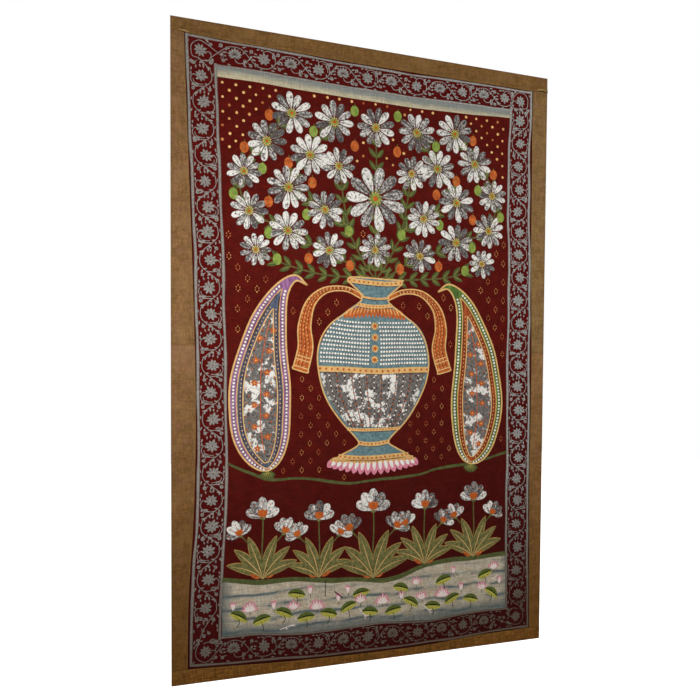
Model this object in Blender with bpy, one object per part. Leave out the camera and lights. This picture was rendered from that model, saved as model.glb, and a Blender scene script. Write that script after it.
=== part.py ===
"""A painted temple cloth that hangs flat on a wall, edged with six plain cotton strips.

The painted cloth is one sheet. A top and a bottom strip run its full width and a strip runs
down each side, pieced from two lengths. Each strip's folded inner edge lies over the cloth.
X runs to the right, Z up, and the front faces -Y. The origin is the middle of the top edge.
"""
import math
from collections import namedtuple

import bmesh
import bpy

# Driving dimensions, in metres.
WIDTH = 1.500
HEIGHT = 2.340
PAINTED_THICKNESS = 0.0012
STRIP_THICKNESS = 0.0014
GAP = 0.0003
LAP = 0.008
STEP_WIDTH = 0.010
SIDE_SEAM_DOWN = 1.131
STEP_PARTS = (0.35, 0.65)

# The outer rim lies on the wall. Inside it the cloth stands off in shallow folds.
FLAT_MARGIN = 0.035
FOLD_EASE = 0.200

# The top strip's folded edge is loose at its right end, and stands up in a short pucker.
PUCKER_ALONG = 1.480
PUCKER_HALF_LENGTH = 0.055
PUCKER_REACH = 0.022
PUCKER_HEIGHT = 0.0040

# The widths of the side strips wander with the hand-cut edge of the painted cloth.
SideStation = namedtuple("SideStation", "down left right")
SIDE_WIDTHS = (
    SideStation(down=0.050, left=0.046, right=0.067),
    SideStation(down=0.200, left=0.051, right=0.070),
    SideStation(down=0.400, left=0.058, right=0.069),
    SideStation(down=0.600, left=0.065, right=0.068),
    SideStation(down=0.800, left=0.072, right=0.066),
    SideStation(down=1.000, left=0.078, right=0.061),
    SideStation(down=1.200, left=0.083, right=0.058),
    SideStation(down=1.400, left=0.085, right=0.058),
    SideStation(down=1.600, left=0.082, right=0.060),
    SideStation(down=1.800, left=0.074, right=0.058),
    SideStation(down=2.000, left=0.061, right=0.055),
    SideStation(down=2.150, left=0.057, right=0.053),
    SideStation(down=2.290, left=0.056, right=0.050),
)

# The widths of the end strips, from the left edge to the right one.
EndStation = namedtuple("EndStation", "along top bottom")
END_WIDTHS = (
    EndStation(along=0.000, top=0.048, bottom=0.054),
    EndStation(along=0.060, top=0.051, bottom=0.055),
    EndStation(along=0.200, top=0.056, bottom=0.049),
    EndStation(along=0.400, top=0.058, bottom=0.039),
    EndStation(along=0.600, top=0.062, bottom=0.034),
    EndStation(along=0.800, top=0.063, bottom=0.032),
    EndStation(along=1.000, top=0.063, bottom=0.034),
    EndStation(along=1.200, top=0.062, bottom=0.047),
    EndStation(along=1.400, top=0.062, bottom=0.051),
    EndStation(along=1.440, top=0.061, bottom=0.053),
    EndStation(along=1.470, top=0.056, bottom=0.050),
    EndStation(along=1.500, top=0.059, bottom=0.046),
)

# Shallow upright waves, as a cloth hung from its top edge takes.
Wave = namedtuple("Wave", "height pitch lean phase")
WAVES = (
    Wave(height=0.0018, pitch=0.46, lean=0.10, phase=0.4),
    Wave(height=0.0010, pitch=0.29, lean=-0.14, phase=2.1),
)

# Ridges that folding for storage has pressed across the cloth.
Ridge = namedtuple("Ridge", "down height half_width")
RIDGES = (
    Ridge(down=0.800, height=0.0008, half_width=0.022),
    Ridge(down=1.600, height=0.0014, half_width=0.022),
)

# How many columns and rows of cells each sheet is made of.
PAINTED_COLUMNS = 30
PAINTED_ROWS = 42
SIDE_ROWS = 20
END_COLUMNS = 24


def ease(amount):
    """Go from 0 to 1 with a level start and end."""
    amount = min(max(amount, 0.0), 1.0)
    return amount * amount * (3.0 - 2.0 * amount)


def hump(distance, half_width):
    """Give 1 at the middle of a hump and 0 from its half width on."""
    return 1.0 - ease(abs(distance) / half_width)


def read_width(stations, key, column, place):
    """Read one column of a station table at a place, along a smooth curve through its points."""
    places = [getattr(station, key) for station in stations]
    widths = [getattr(station, column) for station in stations]
    if place <= places[0]:
        return widths[0]
    if place >= places[-1]:
        return widths[-1]
    after = next(index for index, value in enumerate(places) if value > place)
    before = after - 1

    def slope(index):
        low = max(index - 1, 0)
        high = min(index + 1, len(places) - 1)
        return (widths[high] - widths[low]) / (places[high] - places[low])

    span = places[after] - places[before]
    part = (place - places[before]) / span
    square = part * part
    cube = square * part
    return (widths[before] * (2.0 * cube - 3.0 * square + 1.0)
            + slope(before) * span * (cube - 2.0 * square + part)
            + widths[after] * (3.0 * square - 2.0 * cube)
            + slope(after) * span * (cube - square))


def left_width(down):
    return read_width(SIDE_WIDTHS, "down", "left", down)


def right_width(down):
    return read_width(SIDE_WIDTHS, "down", "right", down)


def top_width(along):
    return read_width(END_WIDTHS, "along", "top", along)


def bottom_width(along):
    return read_width(END_WIDTHS, "along", "bottom", along)


def stand_off(along, down):
    """Give how far the back of the cloth stands off the wall at a place."""
    beside = min(along, WIDTH - along)
    level = min(down, HEIGHT - down)
    rim = ease((beside - FLAT_MARGIN) / FOLD_EASE) * ease((level - FLAT_MARGIN) / FOLD_EASE)
    height = 0.0
    for wave in WAVES:
        turn = 2.0 * math.pi * (along - wave.lean * down) / wave.pitch + wave.phase
        height += wave.height * (0.5 + 0.5 * math.sin(turn))
    for ridge in RIDGES:
        height += ridge.height * hump(down - ridge.down, ridge.half_width)
    return rim * height


def lap_lift(inside, full_lift):
    """Lift a strip over what it covers: inside is the distance outward from its folded edge."""
    return full_lift * (1.0 - ease((inside - LAP - 0.001) / STEP_WIDTH))


def side_lift(inside):
    """Give the lift of a side strip, which only covers the painted cloth's edge."""
    return lap_lift(inside, PAINTED_THICKNESS + GAP)


def side_edge_distance(along, down):
    """Give the distance from the nearer side strip's folded edge, outward."""
    return max(left_width(down) - along, along - (WIDTH - right_width(down)))


def end_cover_lift(along, down):
    """Give the lift an end strip needs over the painted cloth and the side strips' ends."""
    inside = side_edge_distance(along, down)
    over_cloth = PAINTED_THICKNESS + GAP
    over_strip = STRIP_THICKNESS + GAP + side_lift(max(inside, 0.0))
    return over_cloth + (over_strip - over_cloth) * ease(1.0 + inside / STEP_WIDTH)


def pucker(along, inside):
    """Give the extra lift of the loose stretch of the top strip's folded edge."""
    return (PUCKER_HEIGHT * hump(along - PUCKER_ALONG, PUCKER_HALF_LENGTH)
            * hump(inside, PUCKER_REACH))


def cloth_material(name, color, roughness):
    """Make a plain matt cloth material."""
    material = bpy.data.materials.new(name)
    material.use_nodes = True
    shader = material.node_tree.nodes["Principled BSDF"]
    shader.inputs["Base Color"].default_value = (*color, 1.0)
    shader.inputs["Roughness"].default_value = roughness
    shader.inputs["Metallic"].default_value = 0.0
    return material


def sheet(name, grid, thickness, material):
    """Close a grid of (along, down, lift) places into a sheet: the lift is its back's height."""
    mesh = bmesh.new()
    rows = len(grid)
    columns = len(grid[0])
    back = []
    front = []
    for row in grid:
        for along, down, lift in row:
            x = along - WIDTH / 2.0
            back.append(mesh.verts.new((x, -lift, -down)))
            front.append(mesh.verts.new((x, -lift - thickness, -down)))

    def index(row, column):
        return row * columns + column

    for row in range(rows - 1):
        for column in range(columns - 1):
            ring = (index(row, column), index(row + 1, column),
                    index(row + 1, column + 1), index(row, column + 1))
            mesh.faces.new([front[corner] for corner in ring])
            mesh.faces.new([back[corner] for corner in reversed(ring)])
    rim = [index(row, 0) for row in range(rows)]
    rim += [index(rows - 1, column) for column in range(1, columns)]
    rim += [index(row, columns - 1) for row in range(rows - 2, -1, -1)]
    rim += [index(0, column) for column in range(columns - 2, 0, -1)]
    for here, after in zip(rim, rim[1:] + rim[:1]):
        mesh.faces.new((back[here], back[after], front[after], front[here]))
    bmesh.ops.triangulate(mesh, faces=mesh.faces[:])
    data = bpy.data.meshes.new(name)
    mesh.to_mesh(data)
    mesh.free()
    data.materials.append(material)
    piece = bpy.data.objects.new(name, data)
    bpy.context.scene.collection.objects.link(piece)
    return piece


def even_steps(start, end, count):
    return [start + (end - start) * step / count for step in range(count + 1)]


def strip_columns(width):
    """Give places across a strip, as distances outward from its folded edge."""
    covered = LAP + 0.001
    raised = covered + STEP_WIDTH
    across = [0.0, LAP / 2.0, covered]
    across += [covered + STEP_WIDTH * part for part in STEP_PARTS]
    across += [raised, (raised + width) / 2.0, width]
    return across


def painted_levels():
    """Space the painted cloth's rows evenly, with three rows on each pressed ridge."""
    start = top_width(WIDTH / 2.0) - LAP
    end = HEIGHT - bottom_width(WIDTH / 2.0) + LAP
    on_ridges = [ridge.down + ridge.half_width * side for ridge in RIDGES for side in (-1, 0, 1)]
    clear = (end - start) / PAINTED_ROWS / 3.0
    even = [level for level in even_steps(start, end, PAINTED_ROWS)
            if all(abs(level - place) > clear for place in on_ridges)]
    return sorted(even + on_ridges)


def painted_cloth(material):
    """Make the painted sheet, whose edges run a lap's width under the strips."""
    levels = painted_levels()
    grid = []
    for level in levels:
        share_down = (level - levels[0]) / (levels[-1] - levels[0])
        start = left_width(level) - LAP
        end = WIDTH - right_width(level) + LAP
        row = []
        for along in even_steps(start, end, PAINTED_COLUMNS):
            first = top_width(along) - LAP
            last = HEIGHT - bottom_width(along) + LAP
            down = first + (last - first) * share_down
            row.append((along, down, stand_off(along, down)))
        grid.append(row)
    return sheet("painted_cloth", grid, PAINTED_THICKNESS, material)


def side_strip(name, from_left, upper, material):
    """Make one of the two lengths of a side strip, whose ends run under the end strips."""
    width_at = left_width if from_left else right_width

    def ends(along):
        if upper:
            return top_width(along) - LAP, SIDE_SEAM_DOWN - GAP / 2.0
        return SIDE_SEAM_DOWN + GAP / 2.0, HEIGHT - bottom_width(along) + LAP

    def place_at(share_down, along):
        start, end = ends(along)
        return start + (end - start) * share_down

    grid = []
    for share_down in even_steps(0.0, 1.0, SIDE_ROWS):
        middle = width_at(SIDE_SEAM_DOWN) / 2.0
        level = place_at(share_down, middle if from_left else WIDTH - middle)
        width = width_at(level)
        row = []
        for inside in strip_columns(width):
            along = width - inside if from_left else WIDTH - width + inside
            down = place_at(share_down, along)
            row.append((along, down, stand_off(along, down) + side_lift(inside)))
        grid.append(row[::-1] if from_left else row)
    return sheet(name, grid, STRIP_THICKNESS, material)


def end_columns(level):
    """Give places along an end strip: close together over the side strips, even between."""
    left = left_width(level)
    right = right_width(level)
    over_left = [left - inside for inside in strip_columns(left)]
    over_right = [WIDTH - right + inside for inside in strip_columns(right)]
    between = even_steps(left + STEP_WIDTH, WIDTH - right - STEP_WIDTH, END_COLUMNS)
    return sorted(over_left + between + over_right)


def end_strip(name, at_top, material):
    """Make the top or the bottom strip, which runs the full width over the side strips' ends."""
    width_at = top_width if at_top else bottom_width
    columns = end_columns(width_at(WIDTH / 2.0) if at_top else HEIGHT - width_at(WIDTH / 2.0))
    rows = len(strip_columns(1.0))
    grid = []
    for number in range(rows):
        row = []
        for along in columns:
            width = width_at(along)
            inside = strip_columns(width)[number]
            down = width - inside if at_top else HEIGHT - width + inside
            folded_down = width if at_top else HEIGHT - width
            lift = lap_lift(inside, end_cover_lift(along, folded_down))
            if at_top:
                lift += pucker(along, inside)
            row.append((along, down, stand_off(along, down) + lift))
        grid.append(row)
    return sheet(name, grid[::-1] if at_top else grid, STRIP_THICKNESS, material)


def main():
    for item in list(bpy.data.objects):
        bpy.data.objects.remove(item, do_unlink=True)
    painted = cloth_material("painted maroon cotton", (0.085, 0.008, 0.007), 0.90)
    strip = cloth_material("ochre brown strip cotton", (0.205, 0.115, 0.045), 0.88)
    painted_cloth(painted)
    end_strip("strip_top", True, strip)
    end_strip("strip_bottom", False, strip)
    side_strip("strip_left_upper", True, True, strip)
    side_strip("strip_left_lower", True, False, strip)
    side_strip("strip_right_upper", False, True, strip)
    side_strip("strip_right_lower", False, False, strip)


main()
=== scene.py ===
import math
from collections import namedtuple

import bpy
import numpy as np
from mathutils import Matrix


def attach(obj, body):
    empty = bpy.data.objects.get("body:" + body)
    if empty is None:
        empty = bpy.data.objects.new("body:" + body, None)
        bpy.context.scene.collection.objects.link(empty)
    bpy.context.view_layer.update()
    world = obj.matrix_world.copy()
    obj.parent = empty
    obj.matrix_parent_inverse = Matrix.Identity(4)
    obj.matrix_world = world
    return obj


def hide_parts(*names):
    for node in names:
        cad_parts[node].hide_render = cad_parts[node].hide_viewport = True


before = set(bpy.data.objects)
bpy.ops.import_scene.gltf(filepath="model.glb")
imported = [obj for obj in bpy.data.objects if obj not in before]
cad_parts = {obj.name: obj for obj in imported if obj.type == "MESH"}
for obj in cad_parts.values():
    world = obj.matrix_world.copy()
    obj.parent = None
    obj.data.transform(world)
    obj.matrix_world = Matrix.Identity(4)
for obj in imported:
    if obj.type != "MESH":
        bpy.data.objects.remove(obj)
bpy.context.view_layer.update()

# The painted cloth
# One length of plain cotton, sized with gum and brushed over with a maroon ground, then painted.
# It hangs from its top edge with its outer rim on the wall, in shallow upright waves, crossed by
# two ridges that folding for storage has pressed into it. Its edge was cut by hand and wanders.
# Places on the cloth are in millimetres, along from its left edge and down from its top edge.
WIDTH = 1500.0
HEIGHT = 2340.0
PAINTED_THICKNESS = 1.2
STRIP_THICKNESS = 1.4
GAP = 0.3
LAP = 8.0
FLAT_MARGIN = 35.0
FOLD_EASE = 200.0


def table(columns, *rows):
    """Name the columns of a table of measures."""
    row = namedtuple("Row", columns)
    return [row(*measures) for measures in rows]


SIDE_WIDTHS = table(
    "down left right",
    (50, 46, 67), (200, 51, 70), (400, 58, 69), (600, 65, 68), (800, 72, 66), (1000, 78, 61),
    (1200, 83, 58), (1400, 85, 58), (1600, 82, 60), (1800, 74, 58), (2000, 61, 55), (2150, 57, 53),
    (2290, 56, 50))
END_WIDTHS = table(
    "along top bottom",
    (0, 48, 54), (60, 51, 55), (200, 56, 49), (400, 58, 39), (600, 62, 34), (800, 63, 32),
    (1000, 63, 34), (1200, 62, 47), (1400, 62, 51), (1436, 63, 53), (1448, 61, 52), (1462, 57, 51),
    (1474, 56, 50), (1486, 58, 48), (1500, 61, 46))
WAVES = table("height pitch lean phase", (1.8, 460, 0.10, 0.4), (1.0, 290, -0.14, 2.1))
RIDGES = table("down height half_width", (800, 0.8, 22), (1600, 1.4, 22))


def ease(amount):
    """Go from 0 to 1 with a level start and end."""
    amount = np.clip(amount, 0.0, 1.0)
    return amount * amount * (3.0 - 2.0 * amount)


def hump(distance, half_width):
    """Give 1 at the middle of a hump and 0 from its half width on."""
    return 1.0 - ease(np.abs(distance) / half_width)


def read_curve(stations, key, column, places):
    """Read one column of a table at many places, along a smooth curve through its points."""
    at = np.array([getattr(station, key) for station in stations], float)
    values = np.array([getattr(station, column) for station in stations], float)
    low = np.maximum(np.arange(len(at)) - 1, 0)
    high = np.minimum(np.arange(len(at)) + 1, len(at) - 1)
    slopes = (values[high] - values[low]) / (at[high] - at[low])
    places = np.clip(places, at[0], at[-1])
    before = np.clip(np.searchsorted(at, places, side="right") - 1, 0, len(at) - 2)
    after = before + 1
    span = at[after] - at[before]
    part = (places - at[before]) / span
    return (values[before] * (2 * part**3 - 3 * part**2 + 1)
            + slopes[before] * span * (part**3 - 2 * part**2 + part)
            + values[after] * (3 * part**2 - 2 * part**3)
            + slopes[after] * span * (part**3 - part**2))


def strip_width(side, places):
    """Give how wide the brown strip on one side is, at places along it."""
    if side in ("left", "right"):
        return read_curve(SIDE_WIDTHS, "down", side, places)
    return read_curve(END_WIDTHS, "along", side, places)


def stand_off(along, down):
    """Give how far the back of the cloth stands off the wall."""
    beside = np.minimum(along, WIDTH - along)
    level = np.minimum(down, HEIGHT - down)
    rim = ease((beside - FLAT_MARGIN) / FOLD_EASE) * ease((level - FLAT_MARGIN) / FOLD_EASE)
    height = 0.0 * along
    for wave in WAVES:
        turn = 2 * math.pi * (along - wave.lean * down) / wave.pitch + wave.phase
        height = height + wave.height * (0.5 + 0.5 * np.sin(turn))
    for ridge in RIDGES:
        height = height + ridge.height * hump(down - ridge.down, ridge.half_width)
    return rim * height


def in_room(along, down, off_wall):
    """Turn places on the cloth, in millimetres, into points in metres."""
    return np.stack([along - WIDTH / 2, -off_wall, -down], axis=-1) / 1000


def new_mesh(name, points, quads, material, facts):
    """Make a smooth mesh object with a number for each of its points under each fact's name."""
    mesh = bpy.data.meshes.new(name)
    mesh.from_pydata(points.reshape(-1, 3).tolist(), [], [tuple(quad) for quad in quads])
    for fact, numbers in facts.items():
        layer = mesh.attributes.new(fact, "FLOAT", "POINT")
        layer.data.foreach_set("value", np.asarray(numbers, np.float32).ravel())
    mesh.shade_smooth()
    mesh.materials.append(material)
    piece = bpy.data.objects.new(name, mesh)
    bpy.context.scene.collection.objects.link(piece)
    return piece


def grid_quads(order):
    """Give the four corners of each cell of a grid of numbered points."""
    corners = [order[:-1, :-1], order[1:, :-1], order[1:, 1:], order[:-1, 1:]]
    return np.stack(corners, axis=-1).reshape(-1, 4)


def woven_sheet(name, along, down, back, thickness, material, facts):
    """Close a grid of places into a sheet with softly rounded edges; back is its back's height."""
    rows, columns = along.shape
    order = np.arange(rows * columns).reshape(rows, columns)
    rim = np.concatenate([order[:-1, 0], order[-1, :-1], order[:0:-1, -1], order[0, :0:-1]])
    inner_rows = np.clip(np.arange(rows), 1, rows - 2)[:, None] + 0 * order
    inner_columns = np.clip(np.arange(columns), 1, columns - 2)[None, :] + 0 * order
    edge = in_room(along, down, back + thickness / 2).reshape(-1, 3)[rim]

    def face(off_wall):
        points = in_room(along, down, off_wall)
        inward = points[inner_rows, inner_columns] - points
        reach = np.linalg.norm(inward, axis=-1, keepdims=True)
        return points + inward / np.maximum(reach, 1e-9) * np.minimum(reach / 3, thickness / 2500)

    points = np.concatenate([face(back + thickness).reshape(-1, 3), face(back).reshape(-1, 3), edge])
    front_quads = grid_quads(order)
    rear_quads = front_quads[:, ::-1] + rows * columns
    middle = 2 * rows * columns + np.arange(len(rim))
    after = np.roll(np.arange(len(rim)), -1)
    front_rim = np.stack([rim, middle, middle[after], rim[after]], axis=-1)
    rear_rim = np.stack([middle, rim + rows * columns, rim[after] + rows * columns, middle[after]], axis=-1)
    quads = np.concatenate([front_quads, rear_quads, front_rim, rear_rim])
    spread = {fact: np.concatenate([np.ravel(numbers), np.ravel(numbers), np.ravel(numbers)[rim]])
              for fact, numbers in facts.items()}
    spread["rear"] = np.repeat([0.0, 1.0, 0.3], [rows * columns, rows * columns, len(rim)])
    return new_mesh(name, points, quads.tolist(), material, spread)


def linear(hex_colour):
    """Turn an sRGB hex colour into the linear colour that a shader takes."""
    parts = [int(hex_colour[start:start + 2], 16) / 255 for start in (1, 3, 5)]
    return tuple(part / 12.92 if part <= 0.04045 else ((part + 0.055) / 1.055) ** 2.4
                 for part in parts) + (1.0,)


def add_node(material, kind, **settings):
    """Add a node. A setting that names one of its sockets feeds it, from a node or with a value."""
    tree = material.node_tree
    node = tree.nodes.new("ShaderNode" + kind)
    for name, value in settings.items():
        socket = node.inputs.get(name.replace("_", " "))
        if socket is None:
            setattr(node, name, value)
        elif isinstance(value, (bpy.types.Node, bpy.types.NodeSocket)):
            tree.links.new(value.outputs[0] if isinstance(value, bpy.types.Node) else value, socket)
        else:
            socket.default_value = value
    return node


def new_material(name, roughness):
    """Start a cloth or paint material: rough, and with little of the shine that a hard thing has."""
    material = bpy.data.materials.new(name)
    material.use_nodes = True
    shader = material.node_tree.nodes["Principled BSDF"]
    shader.inputs["Roughness"].default_value = roughness
    shader.inputs["Specular IOR Level"].default_value = 0.12
    return material


def clouds(material, size, detail=3.0, stretch=(1.0, 1.0, 1.0), seat=0.0, ragged=0.6):
    """Give cloudy patches about size millimetres across, stretched by so much along each axis."""
    places = add_node(material, "TexCoord").outputs["Object"]
    moved = add_node(material, "Mapping", Vector=places, Location=(seat, seat, seat),
                     Scale=tuple(1000 / (size * length) for length in stretch))
    return add_node(material, "TexNoise", Vector=moved, Scale=1.0, Detail=detail, Roughness=ragged)


def place_along(material, axis, lean=0.0):
    """Give a point's place along one axis of the room, in metres, with the axes leant a little."""
    places = add_node(material, "TexCoord").outputs["Object"]
    leant = add_node(material, "Mapping", Vector=places, Rotation=(0, lean, 0))
    return add_node(material, "SeparateXYZ", Vector=leant).outputs[axis]


def shaded(material, colour, pattern, start, end, shade, most=1.0):
    """Lay a shade over the colour, none where the pattern is at start and most of it at end."""
    share = add_node(material, "MapRange", Value=pattern, From_Min=start, From_Max=end, To_Max=most)
    return add_node(material, "MixRGB", Fac=share, Color1=colour, Color2=linear(shade))


def mottled(material, colour, pattern, start, end, darkest, lightest):
    """Darken and lighten the colour along a pattern."""
    change = add_node(material, "MapRange", Value=pattern, From_Min=start, From_Max=end,
                      To_Min=darkest, To_Max=lightest)
    return add_node(material, "MixRGB", Fac=1.0, Color1=colour, Color2=change, blend_type="MULTIPLY")


CREASE_STRENGTH = 0.35
CREASE_HALF_WIDTH = 1.8
# Painted shadow: how far from the strips' folded edges the ground is darkened.
SHADE_REACH = 6.0
# The cloth is darker toward its foot, and a little more to the right.
FOOT_DARKENING_LEAN = 0.22
# Cotton threads are about 0.5 mm apart. They are drawn at 1.6 mm, so that the render shows them.
THREAD = 1.6


def weave(material, slub=6.0):
    """Give the height of a plain weave: upright and level threads that thicken and thin."""
    upright = clouds(material, THREAD, 2.0, (1.0, 1.0, slub))
    level = clouds(material, THREAD, 2.0, (slub, 1.0, 1.0), seat=3.0)
    return add_node(material, "MixRGB", Fac=0.5, Color1=upright, Color2=level)


def finish_cloth(material, colour, bump, depth):
    """Join the colour, and a bump of depth millimetres, to the material's shader."""
    tree = material.node_tree
    shader = tree.nodes["Principled BSDF"]
    normal = add_node(material, "Bump", Height=bump, Strength=0.6, Distance=depth / 1000)
    tree.links.new(colour.outputs[0], shader.inputs["Base Color"])
    tree.links.new(normal.outputs[0], shader.inputs["Normal"])
    return material


def aged(material, colour, dust, depth):
    """Finish a paint with the wear that crosses the whole cloth: dust, rubbed threads and a crease."""
    colour = shaded(material, colour, clouds(material, 90.0, 4.0, seat=5.0), 0.45, 0.8, "#7d5a4a", dust)
    colour = shaded(material, colour, weave(material, 9.0), 0.58, 0.76, "#9a6a52", 0.2)
    places = add_node(material, "TexCoord").outputs["Object"]
    broken = add_node(material, "MapRange", Value=clouds(material, 22.0, 3.0, seat=13.0),
                      From_Min=0.42, From_Max=0.58, To_Max=CREASE_STRENGTH)
    off = add_node(material, "MixRGB", Fac=1.0, Color1=places, Color2=(0, 0, -RIDGES[1].down / 1000, 1),
                   blend_type="DIFFERENCE")
    distance = add_node(material, "SeparateXYZ", Vector=off).outputs["Z"]
    share = mottled(material, broken, distance, CREASE_HALF_WIDTH / 1000, 0.0, 0.0, 1.0)
    colour = add_node(material, "MixRGB", Fac=share, Color1=colour, Color2=linear("#8a6454"))
    return finish_cloth(material, colour, weave(material), depth)


def cotton_ground():
    """Cotton brushed with maroon ground: matt, streaked level, a little redder in the border, painted shadow
    by the strips.

    The back is bare cotton that the ground has soaked through in patches."""
    material = new_material("maroon_ground_on_cotton", 0.9)
    in_border, rear, by_strip = (add_node(material, "Attribute", attribute_name=fact).outputs["Fac"]
                                 for fact in ("in_border", "rear", "by_strip"))
    patches = clouds(material, 38.0, 5.0)
    field = shaded(material, linear("#560e08"), patches, 0.3, 0.7, "#6b150c")
    border = shaded(material, linear("#560a07"), patches, 0.3, 0.7, "#680e0a")
    colour = add_node(material, "MixRGB", Fac=in_border, Color1=field, Color2=border)
    for size, stretch in ((3.0, (14.0, 1.0, 1.0)), (4.0, (1.0, 1.0, 1.0))):
        streaks = clouds(material, size, 3.0, stretch, seat=8.0)
        colour = mottled(material, colour, streaks, 0.32, 0.68, 0.74, 1.1)
    # Darker toward the foot, and a little more to the right.
    colour = shaded(material, colour, place_along(material, "Z", FOOT_DARKENING_LEAN), -1.2, -2.25, "#1e0203", 0.62)
    soaked = clouds(material, 90.0, 9.0, seat=19.0, ragged=0.72)
    reverse = shaded(material, linear("#8c6250"), soaked, 0.35, 0.65, "#73362a")
    colour = add_node(material, "MixRGB", Fac=rear, Color1=colour, Color2=reverse)
    # Painted shadow: the ground is darkened next to the strips' folded edges.
    colour = shaded(material, colour, by_strip, SHADE_REACH, 0.0, "#1c0606", 0.75)
    return aged(material, colour, 0.03, 0.5)


# Where the silver lines of the border run, which the paint and the ground's two reds follow.
SIDE_LINES = table(
    "down left_outer left_inner right_inner right_outer",
    (55, 54, 152, 1331, 1424), (200, 59, 154, 1330, 1423), (300, 63, 159, 1324, 1417),
    (400, 65, 161, 1324, 1419), (500, 72, 167, 1324, 1421), (600, 75, 169, 1323, 1420),
    (700, 78, 174, 1330, 1426), (800, 84, 179, 1332, 1428), (900, 85, 181, 1331, 1428),
    (1000, 86, 181, 1333, 1431), (1100, 90, 186, 1330, 1429), (1200, 92, 188, 1329, 1429),
    (1300, 92, 187, 1332, 1432), (1400, 94, 189, 1332, 1434), (1500, 95, 192, 1334, 1433),
    (1600, 93, 192, 1336, 1433), (1700, 91, 190, 1333, 1432), (1800, 87, 185, 1334, 1434),
    (1900, 78, 178, 1334, 1435), (2000, 74, 174, 1336, 1435), (2100, 70, 170, 1338, 1439),
    (2200, 68, 168, 1340, 1440), (2285, 67, 168, 1341, 1443))
END_LINES = table(
    "along top_outer top_inner bottom_inner bottom_outer",
    (50, 56, 146, 2184, 2272), (200, 61, 147, 2185, 2281), (300, 61, 146, 2186, 2284),
    (400, 64, 150, 2197, 2287), (500, 66, 153, 2204, 2294), (600, 69, 155, 2203, 2296),
    (700, 70, 156, 2199, 2296), (800, 71, 157, 2197, 2297), (900, 73, 158, 2207, 2297),
    (1000, 70, 156, 2211, 2294), (1100, 69, 154, 2201, 2294), (1200, 68, 152, 2196, 2288),
    (1300, 68, 151, 2196, 2283), (1445, 69, 150, 2195, 2281))


def side_line(column, down):
    return read_curve(SIDE_LINES, "down", column, down)


def end_line(column, along):
    return read_curve(END_LINES, "along", column, along)


def in_border(along, down):
    """Give 1 outside the inner silver line and 0 inside it."""
    inside = np.minimum.reduce([
        along - side_line("left_inner", down), side_line("right_inner", down) - along,
        down - end_line("top_inner", along), end_line("bottom_inner", along) - down])
    return np.where(inside > 0, 0.0, 1.0)


PAINTED_CELL = 10.0
RIDGE_CELL = 3.0
# Columns are set out on this width, close together near the edges, then stretched to the cloth.
SET_OUT_WIDTH = 1400.0
EDGE_STEPS = np.array([0, 3, 6, 8, 10, 12.5, 15, 20])
FIRST_FULL_CELL = 28.0


def painted_sheet():
    """Make the painted cloth, whose edges run a lap's width under the strips."""
    first_level = strip_width("top", WIDTH / 2) - LAP
    last_level = HEIGHT - strip_width("bottom", WIDTH / 2) + LAP
    levels = list(np.linspace(first_level, last_level, round((last_level - first_level) / PAINTED_CELL)))
    for ridge in RIDGES:
        levels = [level for level in levels if abs(level - ridge.down) > ridge.half_width + RIDGE_CELL / 2]
        levels += list(ridge.down + np.arange(-ridge.half_width, ridge.half_width + 1, RIDGE_CELL))
    levels = np.unique(np.concatenate(
        [levels, first_level + EDGE_STEPS[1:-1], last_level - EDGE_STEPS[1:-1]]).round(2))
    share_down = ((levels - levels[0]) / (levels[-1] - levels[0]))[:, None]
    start = (strip_width("left", levels) - LAP)[:, None]
    end = (WIDTH - strip_width("right", levels) + LAP)[:, None]
    middle = np.linspace(FIRST_FULL_CELL, SET_OUT_WIDTH - FIRST_FULL_CELL, round(WIDTH / PAINTED_CELL))
    share_along = np.concatenate([EDGE_STEPS, middle, SET_OUT_WIDTH - EDGE_STEPS[::-1]]) / SET_OUT_WIDTH
    along = start + (end - start) * share_along[None, :]
    first = strip_width("top", along) - LAP
    last = HEIGHT - strip_width("bottom", along) + LAP
    down = first + (last - first) * share_down
    # by_strip is the distance from the strips' folded edges, which sets where the painted shadow falls.
    by_strip = np.minimum.reduce([along - start, end - along, down - first, last - down]) - LAP
    facts = {"in_border": in_border(along, down), "by_strip": np.maximum(by_strip, 0)}
    return woven_sheet("painted_cloth_sheet", along, down, stand_off(along, down), PAINTED_THICKNESS,
                       cotton_ground(), facts)


cloth = painted_sheet()
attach(cloth, "root")
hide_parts("painted_cloth")


# The brown strips
# Plain ochre cotton of a coarse, slubby weave, torn along its threads and hemmed by machine. A top
# and a bottom strip run the full width, and each side is pieced from two lengths that meet at mid
# height. Their inner edges are folded under and stitched down over the painted cloth's cut edge.
STEP_WIDTH = 10.0
SIDE_SEAM_DOWN = 1131.0
PUCKER_ALONG = 1474.0
PUCKER_HALF_LENGTH = 46.0
PUCKER_REACH = 18.0
PUCKER_HEIGHT = 3.4
PLEATS = table("side down reach", ("left", 1112, 40), ("left", 1123, 34), ("right", 1911, 26))
PLEAT_HEIGHT = 0.7
LOOSE_LEFT_ALONG = 46
GAPE_ALONG = 1468
SEAM_WEAR_DOWN = SIDE_SEAM_DOWN + 25
HEM = 5.0
HEM_DIP = 0.35
STITCH_INSIDE = 2.6
STRIP_CELL = 9.0
SLUBS = 0.22
BOTTOM_SLUBS = 0.46


def lap_lift(inside, full_lift):
    """Lift a strip over what it covers: inside is the distance outward from its folded edge."""
    return full_lift * (1 - ease((inside - LAP - 1) / STEP_WIDTH))


def side_lift(inside):
    return lap_lift(inside, PAINTED_THICKNESS + GAP)


def end_cover_lift(along, down):
    """Give the lift an end strip needs over the painted cloth and the side strips' ends."""
    inside = np.maximum(strip_width("left", down) - along, along - (WIDTH - strip_width("right", down)))
    over_cloth = PAINTED_THICKNESS + GAP
    over_strip = STRIP_THICKNESS + GAP + side_lift(np.maximum(inside, 0))
    return over_cloth + (over_strip - over_cloth) * ease(1 + inside / STEP_WIDTH)


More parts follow.
